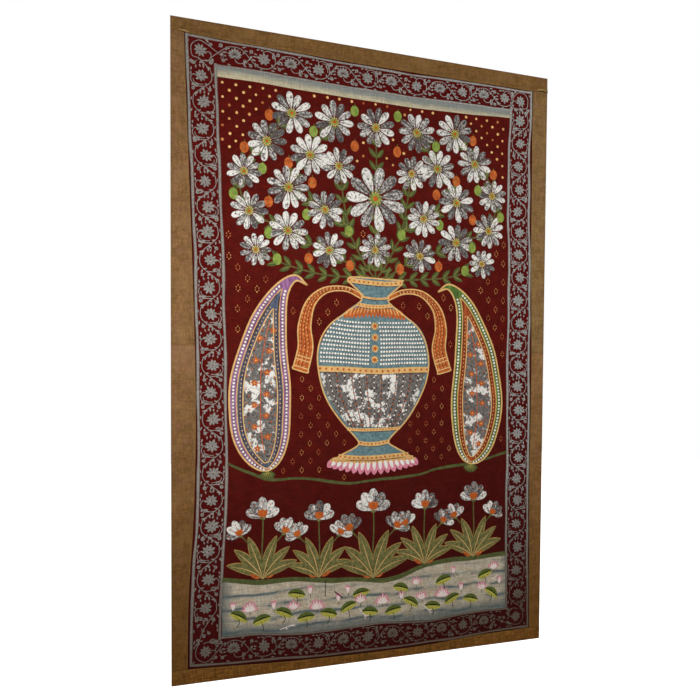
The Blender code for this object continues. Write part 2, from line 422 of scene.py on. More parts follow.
def seam_puckers(run, inside):
    """Give the small gathers that the stitching draws along a strip's folded edge."""
    gathers = 0.5 + 0.25 * np.sin(run / 5.3) + 0.25 * np.sin(run / 8.7 + 1.3)
    return 0.30 * gathers * hump(inside - 9, 9)


def strip_across(width):
    """Give distances outward from a strip's folded edge, close together at its edges and steps."""
    near_fold = np.array([0, 0.9, 1.8, STITCH_INSIDE, 3.6, 5.5, 9, 12, 15, 19])
    near_hem = np.array([HEM + 3, HEM + 1.4, HEM, HEM - 1.4, 2, 0.9, 0])
    middle = np.linspace(0, 1, 5)[1:-1]
    inner, outer = near_fold[-1], width - near_hem[0]
    return np.concatenate([near_fold, inner + (outer - inner) * middle, width - near_hem])


def side_height(along, down, inside, width):
    """Give a side strip's back: lapped over the cloth, dipped at its hem, with gathers."""
    clear = (ease((down - strip_width("top", along) - 6) / 20)
             * ease((HEIGHT - strip_width("bottom", along) - 6 - down) / 20))
    dip = HEM_DIP * hump(width - inside - HEM, 1.6) * clear
    raised = seam_puckers(down, inside) * clear
    return np.maximum(stand_off(along, down) + side_lift(inside) + raised - dip, 0)


def end_height(along, down, inside, width, at_top):
    """Give an end strip's back, whose folded edge is loose and puckered at the top right."""
    folded_down = width if at_top else HEIGHT - width
    height = lap_lift(inside, end_cover_lift(along, folded_down)) + seam_puckers(along, inside)
    if at_top:
        height = height + (PUCKER_HEIGHT * hump(along - PUCKER_ALONG, PUCKER_HALF_LENGTH)
                           * hump(inside, PUCKER_REACH))
    dip = HEM_DIP * hump(width - inside - HEM, 1.6)
    return np.maximum(stand_off(along, down) + height - dip, 0)


# Marks on the cotton: a painted highlight along the stitched fold, a painted shadow at its edge, the
# rim, the hem's crease, a painted shade line in each pleat, the worn end at the left seam, and a painted
# highlight on the top strip's loose fold, with a painted shadow in the gap under it. A strip shows each
# mark whose fact its points carry.
MARKS = table(
    "fact start end most shade",
    ("inside", 3.6, 1.2, 0.28, "#a5803f"), ("inside", 1.0, 0.0, 0.5, "#4a2f1b"),
    ("from_rim", 1.6, 0.2, 0.3, "#5a3c22"), ("hem", 0.2, 1.0, 0.35, "#3f2914"),
    ("pleat", 0.1, 1.0, 0.7, "#3a2412"), ("seam", 0.0, 1.0, 0.26, "#bd9070"),
    ("lip", 0.1, 0.7, 0.9, "#d6b980"), ("gape", 0.1, 0.6, 0.9, "#24140b"))
STAINS = table(
    "size seat most shade", (34.0, 4.0, 0.7, "#9f6f57"), (30.0, 14.0, 0.6, "#775c33"),
    (12.0, 24.0, 0.4, "#6b4a28"), (75.0, 6.0, 0.4, "#b08a5c"))


def brown_cotton(name, tone, slubby, facts):
    """Coarse ochre brown cotton: slubs both ways, stained in patches, darker and more yellow low down with
    painted shade.
    """
    material = new_material(name, 0.95)
    threads = weave(material, 8.0)
    colour = shaded(material, linear("#835c35"), threads, 0.34, 0.66, "#b38755")
    for stretch, seat in (((9.0, 1.0, 1.0), 2.0), ((1.0, 1.0, 9.0), 12.0)):
        colour = mottled(material, colour, clouds(material, 4.2, 2.0, stretch, seat), 0.3, 0.7,
                         0.96 - slubby, 0.96 + slubby)
    for stain in STAINS:
        patches = clouds(material, stain.size, 4.0, seat=stain.seat)
        colour = shaded(material, colour, patches, 0.46, 0.68, stain.shade, stain.most)
    # Painted shade: the cotton is darkened and turned more yellow toward the bottom of the hanging.
    low = add_node(material, "MapRange", Value=place_along(material, "Z"), From_Min=-1.25, From_Max=-2.34)
    low_shade_tint = add_node(material, "MixRGB", Fac=1.0, Color1=colour, Color2=linear("#d2c088"),
                        blend_type="MULTIPLY")
    colour = add_node(material, "MixRGB", Fac=low, Color1=colour, Color2=low_shade_tint)
    # Some marks are painted light: highlights on the fold and the loose fold, shadows at the fold's edge, in
    # pleats and under the loose fold.
    for mark in MARKS:
        if mark.fact in facts:
            place = add_node(material, "Attribute", attribute_name=mark.fact).outputs["Fac"]
            colour = shaded(material, colour, place, mark.start, mark.end, mark.shade, mark.most)
    colour = add_node(material, "MixRGB", Fac=1.0, Color1=colour, Color2=linear(tone), blend_type="MULTIPLY")
    return finish_cloth(material, colour, threads, 1.1)


def sewn_strip(side, part, grids, facts, tone, slubby=SLUBS):
    """Make a strip from its grids of places and hang it over the painted cloth's edge."""
    along, down, back, inside, from_rim = grids
    facts = dict(facts, inside=inside, from_rim=from_rim, hem=hump(from_rim - HEM, 1.8))
    name = "_".join([side, *part, "strip"])
    piece = woven_sheet(name, along, down, back, STRIP_THICKNESS,
                        brown_cotton(name + "_cotton", tone, slubby, facts), facts)
    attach(piece, "root")
    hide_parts("_".join(["strip", side, *part]))


def side_strip(side, part, tone):
    """Make one of the two lengths of a side strip, whose ends run under the end strips."""
    from_left, upper = side == "left", part == "upper"
    middle = strip_width(side, SIDE_SEAM_DOWN) / 2
    middle_along = middle if from_left else WIDTH - middle

    def ends(along):
        if upper:
            return strip_width("top", along) - LAP, SIDE_SEAM_DOWN + 0 * along
        return SIDE_SEAM_DOWN + 0 * along, HEIGHT - strip_width("bottom", along) + LAP

    start, end = (float(level[0]) for level in ends(np.array([middle_along])))
    pleats = [pleat for pleat in PLEATS if pleat.side == side and start < pleat.down < end]
    levels = [np.linspace(start, end, round((end - start) / STRIP_CELL))]
    levels += [pleat.down + np.arange(-4, 5.0) for pleat in pleats]
    if upper:
        levels.append(start + LAP + np.arange(8.0))
    levels = np.unique(np.concatenate(levels).round(2))
    widths = strip_width(side, levels)
    inside = np.array([strip_across(width) for width in widths])
    along = widths[:, None] - inside if from_left else WIDTH - widths[:, None] + inside
    first, last = ends(along)
    down = first + (last - first) * ((levels - start) / (end - start))[:, None]
    back = side_height(along, down, inside, widths[:, None])
    pleat_shade = 0 * along
    for pleat in pleats:
        fade = 1 - ease((inside - 0.6 * pleat.reach) / (0.4 * pleat.reach))
        # Painted shade: a dark line along the crease of each pleat.
        pleat_shade = pleat_shade + hump(down - pleat.down, 1.8) * fade
        back = back + PLEAT_HEIGHT * hump(down - pleat.down - 3, 3) * fade
    grids = [along, down, back, inside, widths[:, None] - inside, pleat_shade]
    if from_left:
        grids = [grid[:, ::-1] for grid in grids]
    *grids, pleat_shade = grids
    along, down = grids[:2]
    facts = {"pleat": pleat_shade} if pleats else {}
    if from_left and not upper:
        facts["seam"] = hump(down - SEAM_WEAR_DOWN, 110)
    if upper and not from_left:
        # Painted shadow on this strip's top end, under the top strip's loose fold.
        shadow_under_fold = 1 - ease((down - strip_width("top", along)) / 2.4)
        facts["gape"] = 0.6 * hump(along - GAPE_ALONG, 44) * shadow_under_fold
    sewn_strip(side, [part], grids, facts,
               tone)


def end_strip(side, tone, slubby):
    """Make the top or the bottom strip, which runs over the side strips' ends."""
    at_top = side == "top"
    near_sides = np.arange(20, 110, 4.0)
    along = np.unique(np.concatenate([np.linspace(0, WIDTH, round(WIDTH / STRIP_CELL)), near_sides,
                                      WIDTH - near_sides, [0.8, WIDTH - 0.8]]).round(1))
    inside = np.array([strip_across(width) for width in strip_width(side, along)]).T
    along = along[None, :] + 0 * inside
    widths = strip_width(side, along)
    down = widths - inside if at_top else HEIGHT - widths + inside
    back = end_height(along, down, inside, widths, at_top)
    beside = np.minimum(along, WIDTH - along)
    from_rim = np.minimum(widths - inside, np.where(beside < 30, beside, 30))
    grids = [along, down, back, inside, from_rim]
    facts = {}
    if at_top:
        grids = [grid[::-1] for grid in grids]
        along, inside = grids[0], grids[3]
        # Painted highlight on the loose fold's crest, and painted shadow in the gap under it.
        loose = np.maximum(hump(along - PUCKER_ALONG, 42), 0.7 * hump(along - LOOSE_LEFT_ALONG, 34))
        facts = {"lip": loose * hump(inside - 5, 4.0), "gape": loose * hump(inside, 2.0)}
    sewn_strip(side, [], grids, facts,
               tone, slubby)


side_strip("left", "upper", "#ececee")
side_strip("left", "lower", "#eaeaea")
side_strip("right", "upper", "#f0faf6")
side_strip("right", "lower", "#f6f6f2")
end_strip("top", "#e2e0cc", SLUBS)
end_strip("bottom", "#fffdf8", BOTTOM_SLUBS)


# The border's silver lines
# Two plain lines of tin-silver paint run round the cloth, ruled by hand along a snapped thread.
# The paint is thin, so it has greyed and the threads' crowns show maroon through it.
LINE_HALF_WIDTH = 5.1
FIRST_COAT = 0.15
SECOND_COAT = 0.30
THIRD_COAT = 0.45
FOURTH_COAT = 0.60
STROKE_STEP = 0.004
STEPS_BEFORE_REPEAT = 12


def course(along, down):
    """Pair up places along and down the cloth."""
    return np.stack(np.broadcast_arrays(along, down), axis=1).astype(float)


def toward(heading):
    """Give the way that a heading points, in degrees: 0 is up the cloth, 90 is to the right."""
    turn = math.radians(heading)
    return np.array([math.sin(turn), -math.cos(turn)])


def smooth(points, step=5.0):
    """Give even places along a smooth curve through a few given points."""
    points = np.array(points, float)
    if len(points) > 2:
        padded = np.concatenate([2 * points[:1] - points[1:2], points, 2 * points[-1:] - points[-2:-1]])
        parts = np.linspace(0, 1, 12, endpoint=False)[:, None]
        runs = []
        for before, start, end, after in zip(padded, padded[1:], padded[2:], padded[3:]):
            runs.append(0.5 * (2 * start + (end - before) * parts
                               + (2 * before - 5 * start + 4 * end - after) * parts**2
                               + (3 * start - before - 3 * end + after) * parts**3))
        points = np.concatenate(runs + [points[-1:]])
    lengths = np.concatenate([[0], np.cumsum(np.linalg.norm(np.diff(points, axis=0), axis=1))])
    at = np.linspace(0, lengths[-1], max(2, math.ceil(lengths[-1] / step) + 1))
    return np.stack([np.interp(at, lengths, points[:, axis]) for axis in (0, 1)], axis=1)


def beside(spine):
    """Give the direction across a course at each of its places."""
    tangent = np.gradient(spine, axis=0)
    tangent /= np.maximum(np.linalg.norm(tangent, axis=1, keepdims=True), 1e-9)
    return np.stack([-tangent[:, 1], tangent[:, 0]], axis=1)


class Coat:
    """Everything painted in one colour: strokes that lie on the cloth as a thin skin."""

    def __init__(self, name, height, material):
        self.name = name
        self.height = height
        self.material = material
        self.points = []
        self.quads = []
        self.facts = {"across": [], "run": [], "tone": [], "proud": []}
        self.strokes = 0
        self.total = 0
        self.lay = lambda places: places

    def stroke(self, spine, half_width, columns=1, tone=0.5):
        """Lay a stroke along a spine of places; half_width is one number or one for each place."""
        spine = self.lay(np.asarray(spine, float))
        half_width = np.maximum(np.asarray(half_width, float) + np.zeros(len(spine)), 0.12)
        sides = np.linspace(-1, 1, columns + 1)
        places = (spine[:, None, :] + beside(spine)[:, None, :]
                  * (half_width[:, None] * sides[None, :])[:, :, None]).reshape(-1, 2)
        self.quads.append(grid_quads(self.total + np.arange(len(places)).reshape(len(spine), columns + 1)))
        self.points.append(places)
        proud = self.height + STROKE_STEP * (self.strokes % STEPS_BEFORE_REPEAT)
        for fact, numbers in (("across", np.tile(sides, len(spine))),
                              ("run", np.repeat(np.linspace(0, 1, len(spine)), columns + 1)),
                              ("tone", np.full(len(places), tone)), ("proud", np.full(len(places), proud))):
            self.facts[fact].append(numbers)
        self.strokes += 1
        self.total += len(places)

    def dot(self, along, down, radius, tall=1.0, tone=0.5):
        """Dab a round or oval dot."""
        turn = np.linspace(0, math.pi, 7)
        self.stroke(course(along, down - radius * tall * np.cos(turn)), radius * np.sin(turn), tone=tone)

    def leaf(self, base, heading, length, half_width, fullest=0.45, bend=0.0, columns=1, steps=8,
             tip=0.85, tone=0.5):
        """Lay a leaf from its base; a small tip is round."""
        share = (1 - np.cos(np.linspace(0, math.pi, steps))) / 2
        forward = toward(heading)
        aside = np.array([-forward[1], forward[0]])
        spine = (np.asarray(base, float) + forward * (length * share)[:, None]
                 + aside * (bend * length * share**2)[:, None])
        back = tip * fullest / (1 - fullest)
        most = fullest**back * (1 - fullest)**tip
        self.stroke(spine, half_width * share**back * (1 - share)**tip / most, columns, tone)

    def done(self):
        """Make the piece."""
        places = np.concatenate(self.points)
        quads = np.concatenate(self.quads)
        facts = {fact: np.concatenate(numbers) for fact, numbers in self.facts.items()}
        corner = places[quads]
        after = np.roll(corner, -1, axis=1)
        area = (corner[:, :, 0] * after[:, :, 1] - after[:, :, 0] * corner[:, :, 1]).sum(axis=1)
        quads[area > 0] = quads[area > 0][:, ::-1]
        along, down = places.T
        off_wall = stand_off(along, down) + PAINTED_THICKNESS + facts.pop("proud")
        piece = new_mesh(self.name, in_room(along, down, off_wall), quads.tolist(), self.material, facts)
        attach(piece, "root")


def thin_silver(name, light, dark, polish, edged=0.0):
    """Greyed silver paint over maroon: streaky, brighter and cooler to the right, browner toward the foot."""
    material = new_material(name, 0.6)
    colour = shaded(material, linear(dark), clouds(material, 6.0, 5.0, seat=1.0), 0.32, 0.68, light)
    across = add_node(material, "Attribute", attribute_name="across").outputs["Fac"]
    for edge in (1, -1):
        colour = shaded(material, colour, across, 0.35 * edge, edge, "#4d4a50", edged)
    colour = shaded(material, colour, clouds(material, 2.6, 2.0, seat=4.0), 0.58, 0.72, "#6a3a34")
    # Browner toward the foot, and a little more to the right.
    colour = shaded(material, colour, place_along(material, "Z", FOOT_DARKENING_LEAN), -1.62, -2.25, "#46301c", 0.8)
    rightward = add_node(material, "MapRange", Value=place_along(material, "X"), From_Min=-0.6, From_Max=0.5)
    rubbed = add_node(material, "MixRGB", Fac=rightward,
                      Color1=(polish[0], 0.945 * polish[0], 0.85 * polish[0], 1.0),
                      Color2=(polish[1], 1.01 * polish[1], 0.95 * polish[1], 1.0))
    colour = add_node(material, "MixRGB", Fac=1.0, Color1=colour, Color2=rubbed, blend_type="MULTIPLY")
    return aged(material, colour, 0.06, 0.4)


silver_lines = Coat("paint_silver_lines", FIRST_COAT,
                    thin_silver("greyed_silver_line", "#aaa8a5", "#838180", polish=(1.02, 1.32), edged=0.75))
OUTER_RUN = (56, 2276)
INNER_RUN = (146, 2188)


def silver_frame(which, first_down, last_down):
    """Paint the four lines of one silver frame, each on its own measured course."""
    down = np.arange(first_down - LINE_HALF_WIDTH, last_down + LINE_HALF_WIDTH, 6.0)
    for side in ("left_", "right_"):
        wander = 0.5 * np.sin(down / 61) + 0.4 * np.sin(down / 23 + 1)
        silver_lines.stroke(course(side_line(side + which, down), down), LINE_HALF_WIDTH + wander, 6)
    for side, level in (("top_", first_down), ("bottom_", last_down)):
        start, end = side_line("left_" + which, level), side_line("right_" + which, level)
        along = np.arange(float(start), float(end) + 5, 6.0)
        wander = 0.5 * np.sin(along / 53) + 0.4 * np.sin(along / 19 + 2)
        silver_lines.stroke(course(along, end_line(side + which, along)), LINE_HALF_WIDTH - 1.0 + wander, 6)


silver_frame("outer", *OUTER_RUN)
silver_frame("inner", *INNER_RUN)
silver_lines.done()


# The border's flower vine
# A vine in the same greyed silver winds between the two lines: a stem that swings from side to
# side, a nine-petalled flower in each bend on a curled stalk of its own, and berries and small
# leaves in every gap. It was painted freehand, so no two flowers are quite alike.
VINE_REACH = 42.0
STEM_HALF_WIDTH = 1.35
TENDRIL_HALF_WIDTH = 1.1
FLOWER_RADIUS = 23.0
FLOWER_PETALS = 9
BERRY_RADIUS = 6.4
brush = np.random.default_rng(11)


def between(line_at, first, second):
    """Give what lays places, aside of the middle and run along it, between two silver lines."""
    def lay(places):
        aside, run = np.asarray(places, float).T
        near, far = line_at(first, run), line_at(second, run)
        across = (near + far) / 2 + aside * np.abs((far - near) / 2 - LINE_HALF_WIDTH) / VINE_REACH
        return course(across, run) if line_at is side_line else course(run, across)
    return lay


VINES = table(
    "place first_side fans start end flowers",
    (between(side_line, "left_outer", "left_inner"), 1, False, (-10, 129), (-10, 2152),
     (189, 279, 372, 463, 554, 642, 730, 829, 925, 1018, 1108, 1200, 1298, 1393, 1488, 1586, 1684, 1777,
      1866, 1967, 2071)),
    (between(side_line, "right_inner", "right_outer"), 1, False, (-10, 138), (10, 2190),
     (189, 281, 373, 467, 557, 641, 731, 824, 918, 1012, 1101, 1184, 1272, 1370, 1467, 1566, 1654, 1744,
      1843, 1940, 2039, 2138)),
    (between(end_line, "top_outer", "top_inner"), -1, True, (24, 134), (-10, 1341),
     (220, 323, 422, 526, 620, 716, 812, 915, 1014, 1112, 1206, 1300)),
    (between(end_line, "bottom_inner", "bottom_outer"), -1, True, (-30, 146), (8, 1318),
     (218, 329, 432, 536, 634, 734, 836, 943, 1046, 1141, 1236)))
vine = Coat("paint_border_vine", FIRST_COAT,
            thin_silver("greyed_silver_vine", "#b0b0af", "#7e7f81", polish=(0.94, 1.14)))
vine_lines = Coat("paint_flower_lines", SECOND_COAT,
                  thin_silver("flower_centre_lines", "#5a3f3c", "#3d2221", polish=(1.0, 1.0)))

# Small leaves that fill the ground round each flower, for a flower whose stalk curls to the right:
# aside is to the right of the flower's middle and run is down from it.
SPRIGS = table(
    "aside run heading length half_width",
    (36, -26, 172, 12, 2.7), (38, -11, 186, 12, 2.5), (21, -35, 190, 11, 2.5), (-15, -31, 262, 17, 3.0),
    (-22, -28, 196, 11, 2.4), (7, -38, 196, 10, 2.8), (-7, -43, 178, 15, 3.2), (-36, 26, 196, 14, 2.6),
    (-25, 33, 186, 13, 2.8), (-9, 29, 262, 12, 2.6), (11, 33, 80, 17, 2.7), (11, 37, 104, 17, 2.5),
    (-40, -13, 176, 11, 2.2))
TUFTS = ((33, 30), (3, -50))
BERRIES = (((14, -51), (25, -43)), ((-23, -57), (-31, -46)))
# Places on the stem and the stalks beside a flower: aside, millimetres past the flower's middle,
# and a share of the way to the next flower on top of that.
STEM = ((25, 0, -0.30), (33, 0, -0.08), (32, 0, 0.14), (18, 0, 0.34))
STALK = ((-17, 1, 0), (-30, -1, 0), (-38, 11, 0), (-35, 0, 0.28), (-22, 0, 0.39), (-4, 0, 0.42),
         (8, -9, 0.5))
TENDRIL = ((-30, 0, 0.15), (-27, 0, 0.27), (-11, 0, 0.34), (3, -15, 0.5))
FAN_STALK = ((12, 0, 0), (24, 6, 0), (28, 20, 0), (16, -8, 0.5), (2, 2, 0.5))


def border_flower(aside, run, turn, radius):
    """Paint a star flower: pointed petals round a disc, with a dark line between each two."""
    for petal in range(FLOWER_PETALS):
        heading = turn + 360 * petal / FLOWER_PETALS
        length = radius * brush.uniform(0.88, 1.16)
        vine.leaf((aside, run), heading, length, radius * 0.22, fullest=0.52, bend=brush.uniform(-0.1, 0.1),
                  tip=1.05)
        gap = heading + 180 / FLOWER_PETALS
        vine_lines.leaf((aside, run) + 0.34 * radius * toward(gap), gap, radius * 0.36, 0.8)
    vine.dot(aside, run, radius * 0.54)
    vine_lines.dot(aside + brush.uniform(-3, 3), run + brush.uniform(-3, 3), 2.6)


def border_fan(aside, run, tip, radius):
    """Paint a flower seen from its side: a fan of petals over two curled sepals."""
    for petal in range(FLOWER_PETALS):
        spread = -104 + 208 * petal / (FLOWER_PETALS - 1)
        length = radius * (1.22 - 0.16 * abs(spread) / 104) * brush.uniform(0.94, 1.06)
        vine.leaf((aside, run), tip + spread, length, radius * 0.21, fullest=0.52, tip=0.85)
        vine_lines.leaf((aside, run), tip + spread + 14, radius * 0.66, 0.9)
    vine.dot(aside, run, radius * 0.3)
    base = (aside, run) + 5 * toward(tip + 180)
    for curl in (-1, 1):
        vine.leaf(base, tip + 180 + 42 * curl, 17, 2.6, bend=0.45 * curl)
        vine.leaf(base, tip + 180 + 74 * curl, 19, 2.2, bend=0.30 * curl)


def berry(start, end):
    """Paint a round berry on a short stalk."""
    vine.stroke(smooth([start, end], 4), 1.0)
    vine.dot(end[0], end[1], BERRY_RADIUS * brush.uniform(0.88, 1.1))
    vine_lines.dot(end[0], end[1], 1.8)


def beside_flower(points, side, middle, pitch):
    """Set the places of a stem or a stalk beside one flower."""
    return [(side * aside, middle + past + share * pitch) for aside, past, share in points]


def wound_stem(vine_run):
    """Paint the stem that swings past each flower in turn."""
    side = vine_run.first_side
    points = [vine_run.start]
    for middle, pitch in zip(vine_run.flowers, np.gradient(vine_run.flowers)):
        points += beside_flower(STEM, side, middle, pitch)
        side = -side
    vine.stroke(smooth(points + [vine_run.end], 4), STEM_HALF_WIDTH)


def vine_filling(middle, stalk_side, fan):
    """Paint the berries and small leaves round one flower."""
    for sprig in SPRIGS:
        if fan and abs(sprig.run) < 20:
            continue
        vine.leaf((stalk_side * (sprig.aside + brush.uniform(-1.5, 1.5)), middle + sprig.run),
                  stalk_side * (sprig.heading + brush.uniform(-14, 14)),
                  sprig.length * brush.uniform(0.9, 1.15), sprig.half_width)
    for aside, run in TUFTS:
        for lean in (-38, 0, 38):
            vine.leaf((stalk_side * aside, middle + run), stalk_side * (200 + lean) + brush.uniform(-10, 10),
                      brush.uniform(9, 13), 2.3)
    for start, end in BERRIES:
        berry((stalk_side * start[0], middle + start[1]),
              (stalk_side * end[0], middle + end[1] + brush.uniform(-3, 3)))


def paint_vine(vine_run):
    """Paint one side's vine, each flower with its stalk, and what fills the gaps."""
    vine.lay = vine_lines.lay = vine_run.place
    wound_stem(vine_run)
    for number, (middle, pitch) in enumerate(zip(vine_run.flowers, np.gradient(vine_run.flowers))):
        side = vine_run.first_side * (-1) ** number
        fan = vine_run.fans and side < 0
        vine_filling(middle, -side, fan)
        if fan:
            border_fan(2 * side, middle, 270, FLOWER_RADIUS)
            vine.stroke(smooth(beside_flower(FAN_STALK, 1, middle, pitch), 4), STEM_HALF_WIDTH)
            continue
        border_flower(-3 * side, middle, brush.uniform(0, 40), FLOWER_RADIUS * brush.uniform(0.94, 1.06))
        vine.stroke(smooth(beside_flower(STALK, side, middle, pitch), 4), STEM_HALF_WIDTH)
        if number % 3 != 1:
            vine.stroke(smooth(beside_flower(TENDRIL, side, middle, pitch), 4), TENDRIL_HALF_WIDTH)
    if vine_run.end[1] - middle > 0.7 * pitch:
        gap = middle + 0.84 * pitch
        vine_filling(gap, side, False)
        for aside, run in ((-9, -6), (10, 4), (-6, 13)):
            berry((aside - 6, gap + run - 10), (aside, gap + run))


# A larger flower turns each corner inside a ring of stem that joins the two vines' ends; the ends'
# places are along and down from the flower's middle, outward ones positive.
CORNERS = table(
    "along down outward_along outward_down side_end level_end ring",
    (100, 102, -1, -1, (5, -27), (-82, -14), 0.80), (1374, 110, 1, -1, (-7, -28), (-34, 10), 0.88),
    (1385, 2233, 1, 1, (14, -43), (-66, 15), 0.88), (118, 2230, -1, 1, (10, -78), (-62, -20), 0.88))
CORNER_RING = np.array([(31, -30), (38, -10), (37, 17), (17, 37), (-14, 37)])
CORNER_LEAVES = ((-30, 30, 60), (39, -26, 175), (30, -34, 150), (-40, -22, 215), (-28, 38, 95), (38, 30, 140),
                 (-16, -32, 250), (24, -40, 190), (-34, -2, 200))


def corner_spray(corner):
    """Paint the larger flower that turns a corner, with its stalk and the ring of stem round it."""
    vine.lay = vine_lines.lay = lambda places: np.asarray(places, float)

    def place(outward, out_down):
        return corner.along + corner.outward_along * outward, corner.down + corner.outward_down * out_down

    border_flower(corner.along, corner.down, brush.uniform(0, 40), FLOWER_RADIUS * 0.96)
    for points in ([corner.side_end, *corner.ring * CORNER_RING, corner.level_end],
                   [(-18, -4), (-33, -3), (-38, -17), (-28, -32), (-8, -35), (8, -30)]):
        vine.stroke(smooth([place(*point) for point in points], 4), STEM_HALF_WIDTH)
    for outward, out_down in ((-36, 24), (27, -44), (-40, -34)):
        vine.dot(*place(outward, out_down), BERRY_RADIUS)
        vine_lines.dot(*place(outward, out_down), 1.3)
    for outward, out_down, heading in CORNER_LEAVES:
        vine.leaf(place(outward, out_down), corner.outward_along * heading, 12, 2.6)


for vine_run in VINES:
    paint_vine(vine_run)
for corner in CORNERS:
    corner_spray(corner)
vine.done()
vine_lines.done()


# The wash bands
# A pale band closes the field at each end, washed on while wet: blue-grey that runs out to cream
# under the top line, and pale clay with level blue-grey ripples over the bottom line. Two olive
# lines, which dip in the middle, part the field above the lower band.
CENTRE = 752.0
SKY_TOP = 5.0
SKY_DEPTH = 34.0
RIPPLE_PITCH = 46.0
OLIVE_COURSES = table(
    "along upper lower",
    (190, 1551, 1976), (240, 1575, 1984), (280, 1591, 1990), (320, 1608, 1994), (360, 1618, 1994),
    (440, 1617, 1995), (520, 1623, 2004), (600, 1637, 2012), (660, 1644, 2014), (720, 1639, 2021),
    (790, 1632, 2029), (840, 1630, 2024), (880, 1627, 2015), (920, 1624, 2001), (960, 1618, 1989),
    (1000, 1605, 1981), (1050, 1596, 1974), (1100, 1590, 1970), (1160, 1585, 1972), (1220, 1573, 1971),
    (1280, 1556, 1966), (1340, 1540, 1963))
OLIVE_HALF_WIDTHS = {"upper": 5.0, "lower": 9.0}
BAND_MARGIN = 3.5
BAND_STEPS = 190


def matt_paint(name, colour, shade, patch=14.0, bare=0.66, faded=None, drawn=1.0):
    """Pigment bound with gum: dead matt, brushed on in patches or drawn out in upright streaks.

    Some thread crowns have lost theirs."""
    material = new_material(name, 0.88)
    patches = clouds(material, patch, 4.0, (1.0, 1.0, drawn), seat=6.0)
    mixed = shaded(material, linear(shade), patches, 0.32, 0.68, colour)
    if faded:
        tone = add_node(material, "Attribute", attribute_name="tone").outputs["Fac"]
        mixed = add_node(material, "MixRGB", Fac=tone, Color1=mixed, Color2=linear(faded))
    lost = clouds(material, 3.0, 3.0, seat=9.0)
    mixed = shaded(material, mixed, lost, bare, bare + 0.07, "#5a241c", 0.8)
    return aged(material, mixed, 0.06, 0.4)


def streaky(material, colour):
    """Break a wash up with the brush's fine level and upright streaks."""
    for stretch in ((12.0, 1.0, 1.0), (1.0, 1.0, 9.0)):
        streaks = clouds(material, 3.0, 3.0, stretch, seat=7.0)
        colour = mottled(material, colour, streaks, 0.3, 0.7, 0.76, 1.12)
    return colour


def sky_wash():
    """A wash that was tipped while wet: blue-grey above, run out to cream below."""
    material = new_material("blue_grey_wash", 0.9)
    across, run = (add_node(material, "Attribute", attribute_name=fact).outputs["Fac"]
                   for fact in ("across", "run"))
    turned = add_node(material, "MapRange", Value=across, From_Min=-1.0, From_Max=1.0)
    pushed = add_node(material, "MixRGB", Fac=0.35, Color1=turned,
                      Color2=clouds(material, 9.0, 5.0, (5.0, 1.0, 1.0), seat=2.0))
    leftward = add_node(material, "MapRange", Value=run, From_Min=1.0, From_Max=0.0)
    pushed = add_node(material, "MixRGB", Fac=0.16, Color1=pushed, Color2=leftward)
    colour = shaded(material, linear("#979c96"), pushed, 0.38, 0.72, "#dccfab")
    return aged(material, streaky(material, colour), 0.1, 0.4)


def clay_wash():
    """Pale clay wash with blue-grey ripples drawn level across it and a blue-grey rim."""
    material = new_material("clay_wash", 0.9)
    places = add_node(material, "TexCoord").outputs["Object"]
    across, run = (add_node(material, "Attribute", attribute_name=fact).outputs["Fac"]
                   for fact in ("across", "run"))
    colour = shaded(material, linear("#cfbc9f"), clouds(material, 34.0, 4.0, seat=3.0), 0.35, 0.68, "#e2d7c0")
    wave = add_node(material, "TexWave", Vector=places, bands_direction="Z", Distortion=3.2, Detail=4.0,
                    Detail_Scale=0.9, Scale=math.pi * 100 / RIPPLE_PITCH, Phase_Offset=4.6)
    worn = add_node(material, "MapRange", Value=clouds(material, 42.0, 6.0, (2.5, 1.0, 1.0), seat=11.0),
                    From_Min=0.38, From_Max=0.54, To_Max=0.9)
    worn = mottled(material, worn, across, -0.86, -0.5, 0.1, 1.0)
    for start, shade in ((0.5, "#959d97"), (0.86, "#5c6a6d")):
        ripple = mottled(material, worn, wave.outputs["Fac"], start, 1.0, 0.0, 1.0)
        colour = add_node(material, "MixRGB", Fac=ripple, Color1=colour, Color2=linear(shade))
    level = clouds(material, 5.0, 4.0, (18.0, 1.0, 1.0), seat=27.0)
    colour = shaded(material, colour, level, 0.52, 0.72, "#7d8f92", 0.5)
    colour = mottled(material, colour, clouds(material, 4.0, 4.0, seat=31.0), 0.34, 0.66, 0.74, 1.16)
    colour = shaded(material, colour, clouds(material, 8.0, 3.0, seat=21.0), 0.69, 0.74, "#6e4030", 0.8)
    ragged = clouds(material, 18.0, 5.0, (3.0, 1.0, 1.0), seat=17.0)
    for place, raggedness, start, end in ((across, 0.25, 0.48, 0.78), (run, 0.02, 0.045, 0.012),
                                          (run, 0.02, 0.97, 1.0)):
        rim = add_node(material, "MixRGB", Fac=raggedness, Color1=place, Color2=ragged)
        colour = shaded(material, colour, rim, start, end, "#5f6c6c", 0.8)
    return aged(material, streaky(material, colour), 0.15, 0.4)


def olive_course(line, along):
    """Give how far down an olive line runs."""
    return read_curve(OLIVE_COURSES, "along", line, along)


def level_band(coat, top, bottom, columns=4):
    """Paint a band between two courses, from the left inner line to the right one."""
    level = float(top(CENTRE))
    along = np.linspace(float(side_line("left_inner", level)) + BAND_MARGIN,
                        float(side_line("right_inner", level)) - BAND_MARGIN, BAND_STEPS)
    coat.stroke(course(along, (top(along) + bottom(along)) / 2), (bottom(along) - top(along)) / 2, columns)


sky = Coat("paint_sky_wash", FIRST_COAT, sky_wash())
level_band(sky, lambda along: end_line("top_inner", along) + SKY_TOP - 2,
           lambda along: end_line("top_inner", along) + SKY_TOP + SKY_DEPTH - 7 * ease((along - 1120) / 200))
sky.done()

